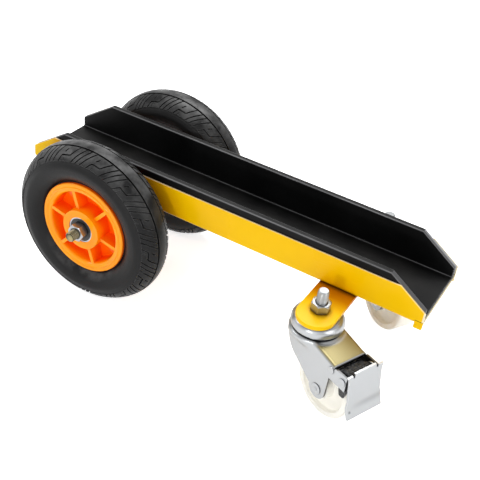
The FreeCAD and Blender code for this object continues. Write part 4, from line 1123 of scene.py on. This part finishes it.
class AxleOperator(Operator):
    """Builds the threaded cross axle and its nuts"""

    bl_idname = "dolly.make_axle"
    bl_label = "Axle and nuts"

    def execute(self, context):
        middle = wheel_place("right").moved(0, 0, WHEEL_OFFSET)
        rod, roots = threaded_rod(context.scene.dolly_shape, AXLE_TIP, AXLE_TIP - THREAD_LENGTH)
        # The thread's roots are darkened as painted shade.
        make_piece("cross_axle", [rod], middle, "deck", "plated_axle", "axle_rod", dull=roots)
        nuts = [hexagon_nut(base) for base in (NUT_SEAT, -NUT_SEAT - NUT_HEIGHT)]
        make_piece("wheel_nuts", nuts, middle, "deck", "zinc_steel", "axle_nuts")
        return {"FINISHED"}


class TyreOperator(Operator):
    """Builds the treaded tyres"""

    bl_idname = "dolly.make_tyres"
    bl_label = "Tyres"

    def execute(self, context):
        skin, tread = tyre_patch(context.scene.dolly_shape)
        for side in SIDES:
            make_piece(
                f"{side}_treaded_tyre", [skin], wheel_place(side), f"{side}_wheel", "tyre_rubber",
                f"{side}_tyre", 38.0, wear=tread)
        return {"FINISHED"}


def tyre_profile(across):
    """Radius, height and outward normal of the tyre at a distance along its skin from the middle.

    Up to the crown's end the skin is an arc about a point below the crown; beyond it the side wall
    is an arc of its own that ends at the bead.
    """
    far = np.abs(across)
    start = CROWN_END / CROWN_RADIUS
    angle = np.minimum(far, CROWN_END) / CROWN_RADIUS + np.maximum(far - CROWN_END, 0.0) / WALL_RADIUS
    low = TYRE_RADIUS - CROWN_RADIUS
    on_wall = far > CROWN_END
    bend = np.where(on_wall, WALL_RADIUS, CROWN_RADIUS)
    centre_r = np.where(on_wall, low + (CROWN_RADIUS - WALL_RADIUS) * math.cos(start), low)
    centre_h = np.where(on_wall, (CROWN_RADIUS - WALL_RADIUS) * math.sin(start), 0.0)
    sign = np.sign(across)
    height = centre_h + bend * np.sin(angle)
    return centre_r + bend * np.cos(angle), height * sign, np.cos(angle), np.sin(angle) * sign


def groove(value, middle, half, wall=TREAD_WALL):
    """1 in a groove round middle, 0 outside it, with steep walls."""
    return smooth((half + wall - np.abs(value - middle)) / wall)


def between(value, low, high, wall=TREAD_WALL):
    """1 from low to high, 0 outside, with steep ends."""
    return smooth((value - low) / wall) * smooth((high - value) / wall)


def tread_depth(along, across, half):
    """Depth of the tread as a share: slanted grooves, a stepped groove and a slit in each unit.

    along is the place in a unit in millimetres, measured with the slant taken out; the pattern is
    the same on both sides of the middle after a half turn.
    """
    far = np.abs(across)
    end = TREAD_END + 0.5
    *plain, step, slit, hook = TREAD_LINES
    cuts = [groove(along, line, half) for line in plain]
    cuts += [
        groove(along, step, half) * between(far, HOOK_LINE, end),
        groove(along, hook, half) * between(far, RIB_EDGE, HOOK_LINE + half),
        groove(far, HOOK_LINE, half) * between(along, step - half, hook + half),
        groove(along, step, half) * between(far, 13.0, 17.6),
        0.7 * groove(along, slit, half * 0.7) * between(far, 24.6, end),
    ]
    slanted = np.max(cuts, axis=0) * between(far, RIB_EDGE, end)
    return np.maximum(slanted, groove(far, RIB_EDGE, half * 1.2))


def tyre_patch(shape):
    """Tyre skin over the angle and the distance across, with the tread pressed in along its normal.

    Lines of the grid are sheared by the slant, so that they follow the edges of the grooves. With
    it comes 1 at the points on the tread's blocks and 0 elsewhere.
    """
    half = shape.groove_width / MM / 2
    units = shape.tread_units
    unit = 2 * np.pi * TYRE_RADIUS / units
    flank = np.array((-0.36, -0.01, 0.01, 0.36))
    edges = flank + np.array((-half, -half, half, half))
    lines = np.array(TREAD_LINES)[:, None] + edges
    fill = (0.6, 7.4, 14.4, 21.0, 23.0, 25.0, 31.0, 37.0, 42.5)
    along = np.sort(np.concatenate((lines.ravel(), fill)))
    rib = RIB_EDGE + flank + np.array((-1.2, -1.2, 1.2, 1.2)) * half
    fill = (
        0.0, 2.2, 4.4, 6.0, 10.4, 12.0, 12.9, 13.3, 15.2, 17.3, 17.7, 19.0, 20.0, 23.0, 24.5, 24.95, 26.6)
    rim = TREAD_END + np.array((-0.4, 0.0, 0.35, 0.9))
    wall = (6.2, 8.0, 10.5, 13.0, 16.0, 19.0, 22.0, 25.0, 28.0, 31.0, 34.0, 36.2, WALL_LENGTH)
    near = np.sort(np.concatenate((rib, HOOK_LINE + edges, fill, rim, CROWN_END + np.array(wall))))
    across = both_ways(near)[None, :]
    steps = (along + unit * np.arange(units)[:, None]).ravel()[:, None]
    place = np.mod(steps, unit)
    depth = tread_depth(np.where(across > 0, unit - place, place), across, half) * shape.tread_depth / MM
    far = np.abs(across)
    depth = np.maximum(depth, 0.9 * smooth((far - TREAD_END) / 0.5))
    bead_line = 0.5 * groove(far, CROWN_END + BEAD_LINE, 0.6, 1.4)
    depth = depth - bead_line + 0.3 * groove(far, CROWN_END + RIM_LINE, 0.4, 1.2)
    radius, height, out_r, out_h = tyre_profile(across)
    lean = shape.tread_slant * np.clip(across, -TREAD_END, TREAD_END)
    angle = np.pi / 2 - (steps + lean) / TYRE_RADIUS
    skin = polar(radius - depth * out_r, angle, height - depth * out_h)
    left, right = angle[:, :1], angle[:, -1:]
    before = (polar(SEAT_RADIUS, left, -BEAD[1]), polar(BEAD[0], left, -BEAD[1]))
    after = (polar(BEAD[0], right, BEAD[1]), polar(SEAT_RADIUS, right, BEAD[1]))
    blocks = smooth(1.0 - depth / 0.25) * (far < TREAD_END)
    return patch(np.concatenate((*before, skin, *after), 1), True, True), np.pad(blocks, ((0, 0), (2, 2)))


class HubOperator(Operator):
    """Builds the ribbed orange hubs"""

    bl_idname = "dolly.make_hubs"
    bl_label = "Hubs"

    def execute(self, context):
        hub = hub_patch(context.scene.dolly_shape.hub_fillet / MM)
        for side in SIDES:
            make_piece(
                f"{side}_ribbed_hub", [hub], wheel_place(side), f"{side}_wheel", "orange_plastic",
                f"{side}_hub", 50.0)
        return {"FINISHED"}


def hub_patch(fillet):
    """Hub on one grid: bore, outer face, rim with the groove for the tyre, and inner face."""
    angle, face = hub_face(fillet)
    steps = np.linspace(0, np.pi / 2, 5)[1:]
    radius = np.append(FLANGE_RADIUS - RING_EDGE + RING_EDGE * np.sin(steps), (FLANGE_RADIUS, BARREL_RADIUS))
    level = np.append(RING_LINE[-1][1] - RING_EDGE + RING_EDGE * np.cos(steps), (FLANGE_INNER, FLANGE_INNER))
    bore = polar(np.array((SHOULDER, HUB_BORE)), angle[:, :1], SEAT_LEVEL)
    half = np.concatenate((bore, face, polar(radius, angle[:, -1:], level)), 1)
    return patch(np.concatenate((half, half[:, ::-1] * (1, 1, -1)), 1), True, True)


def hub_face(fillet):
    """One side of the hub as a height over radius and angle.

    The height is the tallest of web, ribs, boss and rim, joined over short steep flanks. The angle's
    grid lines follow the flanks of the ribs, at a constant distance from each rib's middle line, and
    beyond the foot of a rib spread evenly to the middle of the pocket.
    """
    shoulder = BOSS_RADIUS - fillet
    foot = BOSS_RADIUS + BOSS_FLANK + fillet
    radius = np.concatenate((
        [HUB_BORE, HUB_BORE + 0.4], np.linspace(HUB_BORE + 0.8, shoulder, 6),
        shoulder + fillet * np.sin(np.linspace(0, np.pi / 2, 6))[1:],
        BOSS_RADIUS + BOSS_FLANK * np.array((0.25, 0.6, 1.0)),
        BOSS_RADIUS + BOSS_FLANK + fillet * np.linspace(0, 1, 5)[1:],
        np.linspace(foot, RING_LINE[0][0], 14)[1:-1],
        np.linspace(RING_LINE[0][0], RING_TOP, 17), np.linspace(RING_TOP, RING_LINE[-1][0], 25)[1:],
    ))[None, :]
    off = both_ways(np.array((
        0, 0.5, 1.0, 1.4, 1.75, 2.05, 2.3, 2.45, RIB_HALF, 2.75, 3.0, 3.3, 3.7, RIB_FOOT,
        5.5, 7.0, 8.5, 10.0, RIB_REACH)))[:-1, None]
    far = np.abs(off)
    reach = np.pi / RIB_COUNT
    edge = np.arcsin(RIB_FOOT / radius)
    pocket = edge + (reach - edge) * (far - RIB_FOOT) / (RIB_REACH - RIB_FOOT)
    spread = np.where(far <= RIB_FOOT, np.arcsin(np.minimum(far, RIB_FOOT) / radius), pocket) * np.sign(off)
    rib = rounded_step(far, RIB_HALF - RIB_FLANK, RIB_HALF + RIB_FLANK)
    boss = rounded_step(radius, shoulder, BOSS_RADIUS + BOSS_FLANK)
    height = np.maximum(WEB_HALF + (RIB_LEVEL - WEB_HALF) * rib, WEB_HALF + (BOSS_HALF - WEB_HALF) * boss)
    height = np.maximum(height, np.interp(radius, *zip(*RING_LINE)))
    angle = np.radians(RIB_TURN) + spread + 2 * reach * np.arange(RIB_COUNT)[:, None, None]
    angle = angle.reshape(-1, radius.shape[1])
    return angle, polar(radius, angle, np.tile(height, (RIB_COUNT, 1)))


def rounded_step(value, start, end):
    """1 before start, 0 after end, with a rounded shoulder and foot between them."""
    return 1.0 - smooth((value - start) / (end - start))


class MountOperator(Operator):
    """Builds the caster studs, their nuts and the swivel caps"""

    bl_idname = "dolly.make_caster_mounts"
    bl_label = "Caster studs and caps"

    def execute(self, context):
        # The studs' thread roots are darkened a little as painted shade.
        stud, roots = threaded_rod(
            context.scene.dolly_shape, STUD_TOP, STUD_START, KING_TOP - 0.5, STUD_THREAD)
        corners = ((0.2, KING_BOTTOM), (KING_RADIUS, KING_BOTTOM), (KING_RADIUS, KING_TOP), (0.2, KING_TOP))
        head = turned(corners, (0.05, 0.8, 0.4, 0.05), 4, 48)
        for side in SIDES:
            mount = (caster_place(side), "deck", "zinc_steel")
            make_piece(f"{side}_stud", [stud, head], *mount, f"{side}_caster_stem", dull=STUD_ROOT_SHADE * roots)
            make_piece(f"{side}_stud_nut", [hexagon_nut()], *mount, f"{side}_stem_nut")
            make_piece(f"{side}_cap", [cap_patch()], *mount, f"{side}_swivel_cap", 50.0)
        return {"FINISHED"}


def cap_patch():
    """Pressed cap turned about the stud: flat top, round shoulder and a skirt with a rolled lip."""
    bend = np.linspace(0, np.pi / 2, 12)
    arc = np.stack((np.sin(bend), np.cos(bend)), -1)
    centre = np.array((CAP_FLAT, CAP_TOP - CAP_ROUND))
    outer = centre + CAP_ROUND * arc
    inner = centre + (CAP_ROUND - FORK_SHEET) * arc
    roll = np.linspace(0, np.pi, 7)
    lip = np.stack((LIP[0] + LIP_ROUND * np.cos(roll), LIP[1] - LIP_ROUND * np.sin(roll)), -1)
    profile = np.vstack((
        (NUT_BORE, CAP_TOP), (19.0, CAP_TOP), outer, (28.5, SKIRT), lip, (26.0, SKIRT), inner[::-1],
        (NUT_BORE, CAP_TOP - FORK_SHEET)))
    return patch(revolve(profile, 96), True, True)


class ForkOperator(Operator):
    """Builds the pressed forks of the casters"""

    bl_idname = "dolly.make_forks"
    bl_label = "Caster forks"

    def execute(self, context):
        for side, braked in (("right", True), ("left", False)):
            outer, shown, straw = fork_skin(braked, 0.0)
            inner = fork_skin(braked, FORK_SHEET)[0]
            fork = make_piece(
                f"{side}_fork", [sheet(outer, inner, shown)], caster_place(side), f"{side}_swivel",
                "zinc_steel", f"{side}_caster_fork", 45.0, straw=straw, dull=fork_dullness(outer, braked))
            soften_edges(fork, 0.45, 50.0)
        return {"FINISHED"}


def fork_dullness(skin, braked):
    """Painted shade on the legs: outside on braked ears and, with dirt, on a plain boss; inside low and at the
    rear.
    """
    back, across, level = np.moveaxis(skin, -1, 0)
    leg = np.abs(across) > FORK_HALF - 0.5
    if braked:
        outside = 0.6 * ((level > FORK_TOP - FORK_FALL - 0.9) & (back > FORK_END + 1.0))
    else:
        outside = 0.35 * smooth((BOSS_GRIME_AND_SHADE - level) / 8.0) * (across < 0)
    inside = 0.9 * ((level < LEG_SHADE) | (back > FORK_END))
    return np.concatenate((outside * leg, inside * leg))


def fork_foot(back):
    """Lower edge of a leg at a distance behind the stud: round nose, straight waist, round boss."""
    nose = NOSE_CENTRE[1] - np.sqrt(np.maximum(NOSE_RADIUS ** 2 - (back - NOSE_CENTRE[0]) ** 2, 0))
    share = (back - WAIST[0]) / (TRAIL - FORK_BOSS - WAIST[0])
    waist = WAIST[1] + (CASTER_AXLE - WAIST[1]) * share
    boss = CASTER_AXLE - np.sqrt(np.maximum(FORK_BOSS ** 2 - (back - TRAIL) ** 2, 0))
    foot = np.where(back < WAIST[0], nose, np.where(back < TRAIL - FORK_BOSS, waist, boss))
    return np.where(back < NOSE_CENTRE[0] - NOSE_RADIUS + 0.05, FORK_TOP - FORK_BEND, foot)


def fork_skin(braked, inset):
    """Skin of a fork over the distance behind the stud and the way round its section.

    The way round goes up one leg, over the top plate and down the other leg. The top plate is the
    round rim under the cap together with a strip that falls to the rear; its edge rolls down over
    the bend radius, and below the rim the legs draw in from the rim's width to their own. An inset
    gives the inner skin, at the same edges. With the skin come the faces that it has and how far a
    painted reflection of the yellow channel lies on its plate.
    """
    end = FORK_END if braked else PLAIN_END
    last = EAR_END if braked else TRAIL + FORK_BOSS
    back = np.unique(np.concatenate((
        -FORK_RIM * np.cos(np.linspace(0.12, 0.93, 14)), np.linspace(-17.45, -15.0, 8),
        np.linspace(-14.5, -4.0, 10), np.linspace(-3.0, 25.2, 22),
        TRAIL - FORK_BOSS * np.cos(np.linspace(0.05, np.pi - 0.05, 25)),
        (FORK_END - CUT_RUN - 0.2, FORK_END - CUT_RUN, FORK_END - CUT_RUN / 2),
        (48.4, 48.8, 49.2, 49.5, 50.5, 52.0, FORK_END, 54.6, 55.4, 56.5, 60.0, 66.0, 71.5, EAR_END),
        (end, last))))
    back = back[back <= last][:, None]
    rim, half, bend = FORK_RIM - inset, FORK_HALF - inset, FORK_BEND - inset
    plate = FORK_TOP - inset
    top = plate - FORK_FALL * np.clip((back - FORK_FLAT) / (FORK_END - FORK_FLAT), 0, None)
    disc = np.sqrt(np.maximum(rim ** 2 - back ** 2, 4.0))
    wide = np.where(back < 0, disc, np.maximum(disc, half))
    foot = fork_foot(back)
    if braked:
        step = np.interp(back, LEG_STEP, (CASTER_AXLE, EAR_BOTTOM))
        foot = np.where(back > TRAIL + FORK_BOSS, step, foot)
        ear = FORK_TOP - FORK_FALL
        beyond = np.interp(back, (end, end + 2.0), (ear - FORK_BEND, ear - 0.2))
    else:
        beyond = np.interp(back, (end, last), (FORK_TOP - PLAIN_DROP, CASTER_AXLE))
    crown = np.maximum(np.where(back > end, beyond, top - bend), foot)
    level = foot + (crown - foot) * np.linspace(0, 1, 22)
    draw = smooth((level - (FORK_TOP - FORK_BEND) + LEG_DRAW) / LEG_DRAW)
    leg = np.where(back < NOSE_BACK, wide, half + (wide - half) * draw)
    left = np.stack((back + 0 * level, -leg, level), -1)
    roll = np.linspace(0, np.pi / 2, 9)[1:]
    shoulder = wide - np.minimum(bend, 0.8 * wide) * (1 - np.cos(roll))
    inner = np.linspace(-1, 1, 31)[1:-1] * shoulder[:, -1:]
    width = np.concatenate((-shoulder, inner, shoulder[:, ::-1]), 1)
    side = np.abs(width)
    spread = np.hypot(back, width)
    out_disc = np.clip(spread - (rim - bend), 0, bend)
    out_strip = np.where((back > 0) & (side <= half), np.clip(side - (half - bend), 0, bend), bend)
    over_disc = np.where(spread < rim, plate - bend + np.sqrt(bend ** 2 - out_disc ** 2), top - bend)
    over_strip = top - bend + np.sqrt(bend ** 2 - out_strip ** 2)
    on_plate = smooth((half - side) / bend)
    blend = 1.6 * smooth((back - FORK_FLAT) / 4.0) * on_plate + 1e-6
    near = np.maximum(blend - np.abs(over_disc - over_strip), 0.0)
    over = np.maximum(over_disc, over_strip) + near ** 2 / blend / 4
    if braked and not inset:
        over -= CUT_DROP * np.clip((back - FORK_END + CUT_RUN) / CUT_RUN, 0, 1) * on_plate
    race = RACE_HEIGHT * smooth((RACE_RADIUS - inset + 1.5 - spread) / 3.0)
    cover = np.stack((back + 0 * width, width, over + race), -1)
    grid = np.concatenate((left, cover, left[:, ::-1] * (1, -1, 1)), 1)
    rows = left.shape[1]
    shown = np.ones((grid.shape[0] - 1, grid.shape[1] - 1), bool)
    shown[back[:-1, 0] >= end - 1e-6, rows - 1:1 - rows] = False
    # Painted reflection of the yellow channel on the plate, fading in from the rim.
    straw = np.zeros(grid.shape[:2])
    straw[:, rows:-rows] = smooth((spread - rim - 1.0) / 3.0) * smooth((half - side) / 2.0)
    return grid, shown, straw * ((back > 0) & (back < FORK_END - CUT_RUN + 0.1))


class CasterWheelOperator(Operator):
    """Builds the nylon caster wheels and their riveted axles"""

    bl_idname = "dolly.make_caster_wheels"
    bl_label = "Caster wheels"

    def execute(self, context):
        rivet, dull = rivet_patch(4.0, 6.2, RIVET_DIMPLE)
        for side in SIDES:
            place = along_axle(caster_place(side).moved(TRAIL, 0, CASTER_AXLE))
            make_piece(
                f"{side}_nylon_wheel", [nylon_patch()], place, f"{side}_roller", "white_nylon",
                f"{side}_caster_wheel")
            make_piece(
                f"{side}_wheel_rivet", [rivet], place, f"{side}_swivel", "zinc_steel", f"{side}_caster_axle",
                dull=dull)
        return {"FINISHED"}


def nylon_patch():
    """Caster wheel turned about its axle: round-edged tread, dished sides and a long hub."""
    half = np.array(((7.95, 18.5), (13.2, 18.5), (13.8, 8.4), (29.6, 7.8), (30.2, 14.0), (37.5, 14.0)))
    radii = (0.3, 1.2, 1.8, 1.6, 1.0, 3.0)
    return turned(np.vstack((half * (1, -1), half[::-1])), radii + radii[::-1], 6, 128)


def rivet_patch(shank, head, dimple):
    """Rivet through the fork, turned about its axis: low domed heads with a pressed dimple.

    With it comes how dark each point is painted: painted shade under the heads and on the shank.
    """
    spread = np.linspace(0, 1, 14)
    dome = RIVET_RISE * (1 - 0.35 * spread ** 4) - dimple * smooth(1 - spread / 0.6)
    cap = np.stack((head * spread, FORK_HALF + dome), -1)
    half = np.vstack((cap, ((head, FORK_HALF), (shank, FORK_HALF))))
    profile = np.vstack((half, half[::-1] * (1, -1)))
    # Painted shade under the heads and along the shank.
    dull = np.broadcast_to(profile[:, 0] == shank, (48, len(profile)))
    return patch(revolve(profile, 48), True, False), dull


class BrakeOperator(Operator):
    """Builds the foot brake of the right caster"""

    bl_idname = "dolly.make_brake"
    bl_label = "Foot brake"

    def execute(self, context):
        place = caster_place("right")
        for name, (back, level), shank in (("brake_pivot", PIVOT, 2.5), ("brake_stop", STOP, 2.0)):
            pin, dull = rivet_patch(shank, shank + 1.7, 0.0)
            pin_place = along_axle(place.moved(back, 0, level))
            make_piece(
                f"right_{name}", [pin], pin_place, "right_swivel", "zinc_steel", f"right_{name}_pin",
                dull=dull)
        patches, dull = pedal_patches()
        pedal = make_piece(
            "right_pedal", patches + cheek_patches(), place, "right_brake", "zinc_steel",
            "right_brake_pedal", 40.0, dull=dull)
        soften_edges(pedal, 0.4, 50.0)
        make_piece(
            "right_brake_block", cam_patches(), place, "right_brake", "black_plastic", "right_brake_cam")
        return {"FINISHED"}


def pedal_patches():
    """Pedal plate over its width and the way down its line: its skin and its two side faces.

    The line goes from the top edge over a rounded fold to the lip; the top edge is cut lower beside
    two slots, and the plate is a little narrower above the fold. With them comes how dark each point
    of the skin is painted: a dark spot low on one side and a band of painted shade above the fold.
    """
    (top_x, top_z), (_, fold_z), (_, lip_z) = PEDAL_LINE
    width = both_ways(np.array((
        0.0, 5.0, 10.0, 14.4, 14.6, 17.0, 17.2, 18.4, 19.2, 20.0, 20.8, 21.6, 22.6, 23.3,
        PEDAL_HALF)))[:, None]
    slot = SLOT_DEPTH * between(np.abs(width), *SLOT, 0.1)
    drop = np.maximum(slot, 1.8 * (np.abs(width) > SLOT[1]))
    share = np.linspace(0, 1, 40)
    level = top_z + share * (lip_z - top_z) - drop * (1 - share) ** 3
    below = fold_z - level
    lean = top_x + PEDAL_LEAN * (top_z - level) + 0.15 * (below + np.sqrt(below ** 2 + 9.0))
    bow = -0.6 * (1 - (width / PEDAL_HALF) ** 2) * (1 - share)
    waist = 1.0 - 0.07 * smooth(share / 0.16) * smooth((0.74 - share) / 0.14)
    outer = np.stack((lean + bow, width * waist, level), -1)
    inner = outer - (PEDAL_SHEET, 0, 0)
    skin = np.concatenate((outer, inner[:, ::-1]), 1)
    sides = (np.stack((outer[0], inner[0])), np.stack((inner[-1], outer[-1])))
    _, across, height = np.moveaxis(skin, -1, 0)
    # A dark spot low on one side, and painted shade in a band above the fold.
    spot = smooth(2.0 - np.hypot(across + 19.5, height + 65.0) / 0.9)
    band = smooth(1 - np.abs(height + 60.5) / 6.0) * smooth((across + 24.0) / 30.0)
    return [patch(skin, False, True), *map(patch, sides)], np.maximum(0.6 * spot, 0.22 * band)


def cheek_patches():
    """Two cheeks that carry the pedal on its pin: plates with a round end that widen to the pedal.

    The far one stands higher.
    """
    turn = np.linspace(np.pi / 2, 3 * np.pi / 2, 17)
    rear = ((78.6, -44.0), (77.8, -41.0), (76.6, -32.0), (75.9, -29.5))
    patches = []
    for low, rise in ((-18.5, -2.0), (16.5, 1.2)):
        reach = CHEEK_ROUND + rise * np.sin(turn) ** 2 * (turn < np.pi)
        round_end = np.array(PIVOT) + reach[:, None] * np.stack((np.cos(turn), np.sin(turn)), -1)
        patches.append(upright_slab(np.vstack((round_end, rear)), low, PEDAL_SHEET, 0.4))
    return patches


def cam_patches():
    """Brake block: its side outline carried across the caster and drawn in at shallow grooves.

    Its top is a toothed drum. Two flanges hang beside the wheel's tread, below the fork's ears.
    """
    turn = np.linspace(-0.25, 2.62, 73)
    drum = DRUM[2] - TOOTH_DEPTH * (0.5 - 0.5 * np.cos(DRUM_TEETH * turn))
    top = np.stack((DRUM[0] + drum * np.cos(turn), DRUM[1] + drum * np.sin(turn)), -1)
    nose = ((54.6, -31.8), (53.6, -32.4), (53.4, -33.0), (53.4, -35.8), (54.0, -36.5))
    foot = ((60.0, -38.8), (67.8, -43.2), (76.6, -58.0), (79.2, -58.0), (75.0, -40.0))
    loop = np.vstack((top, nose, foot))
    width = both_ways(np.array((0.0, 0.8, 1.2, 7.0, 7.4, 8.6, 9.0, 12.5, 13.8, 14.8, 15.5, 16.0, 16.2)))
    sunk = np.array((0.05, 0.05, 0.0, 0.0, 0.06, 0.06, 0.0, 0.0, 0.02, 0.06, 0.12, 0.2, 0.28))
    sunk = both_ways(sunk, 1)[:, None, None]
    rings = PIVOT + (loop - PIVOT) * (1 - sunk)
    grid = np.stack(np.broadcast_arrays(rings[..., 0], width[:, None], rings[..., 1]), -1)
    plan = ((61.0, -38.0), (58.5, -47.0), (62.5, -60.5), (68.5, -60.5), (74.0, -44.0), (72.0, -38.0))
    flange = rounded_loop(plan, (2.0, 2.0, 1.5, 1.5, 3.0, 2.0), 5)
    return [patch(grid, False, True), *(upright_slab(flange, low, 1.5, 0.3) for low in (-16.2, 14.7))]


class CarriedOperator(Operator):
    """Gives the solids that show as they are their finishes"""

    bl_idname = "dolly.finish_solids"
    bl_label = "Finish solids"

    def execute(self, context):
        for part in frame["record"]["subparts"]:
            mesh = frame["nodes"][part["node"]].data
            mesh.materials.clear()
            mesh.materials.append(finish_for(part["material_slot"]))
        return {"FINISHED"}


class DollyPanel(Panel):
    """Sidebar panel with the dolly's pieces and settings"""

    bl_idname = "VIEW3D_PT_door_dolly"
    bl_label = "Door dolly"
    bl_space_type = "VIEW_3D"
    bl_region_type = "UI"
    bl_category = "Door dolly"

    def draw(self, context):
        for step in STEPS:
            self.layout.operator(step.bl_idname)
        for settings in (context.scene.dolly_shape, context.scene.dolly_finish, context.scene.dolly_stage):
            for name in settings.__annotations__:
                self.layout.prop(settings, name)


STEPS = (
    StageOperator, ChannelOperator, LinerOperator, AxleOperator, TyreOperator, HubOperator, MountOperator,
    ForkOperator, CasterWheelOperator, BrakeOperator, CarriedOperator,
)
CLASSES = (DollyShape, DollyFinish, DollyStage, *STEPS, DollyPanel)


def register():
    for item in CLASSES:
        bpy.utils.register_class(item)
    bpy.types.Scene.dolly_shape = PointerProperty(type=DollyShape)
    bpy.types.Scene.dolly_finish = PointerProperty(type=DollyFinish)
    bpy.types.Scene.dolly_stage = PointerProperty(type=DollyStage)


def unregister():
    del bpy.types.Scene.dolly_stage
    del bpy.types.Scene.dolly_finish
    del bpy.types.Scene.dolly_shape
    for item in reversed(CLASSES):
        bpy.utils.unregister_class(item)


def main():
    register()
    for step in STEPS:
        group, name = step.bl_idname.split(".")
        getattr(getattr(bpy.ops, group), name)()
    bpy.context.view_layer.update()


if __name__ == "__main__":
    main()
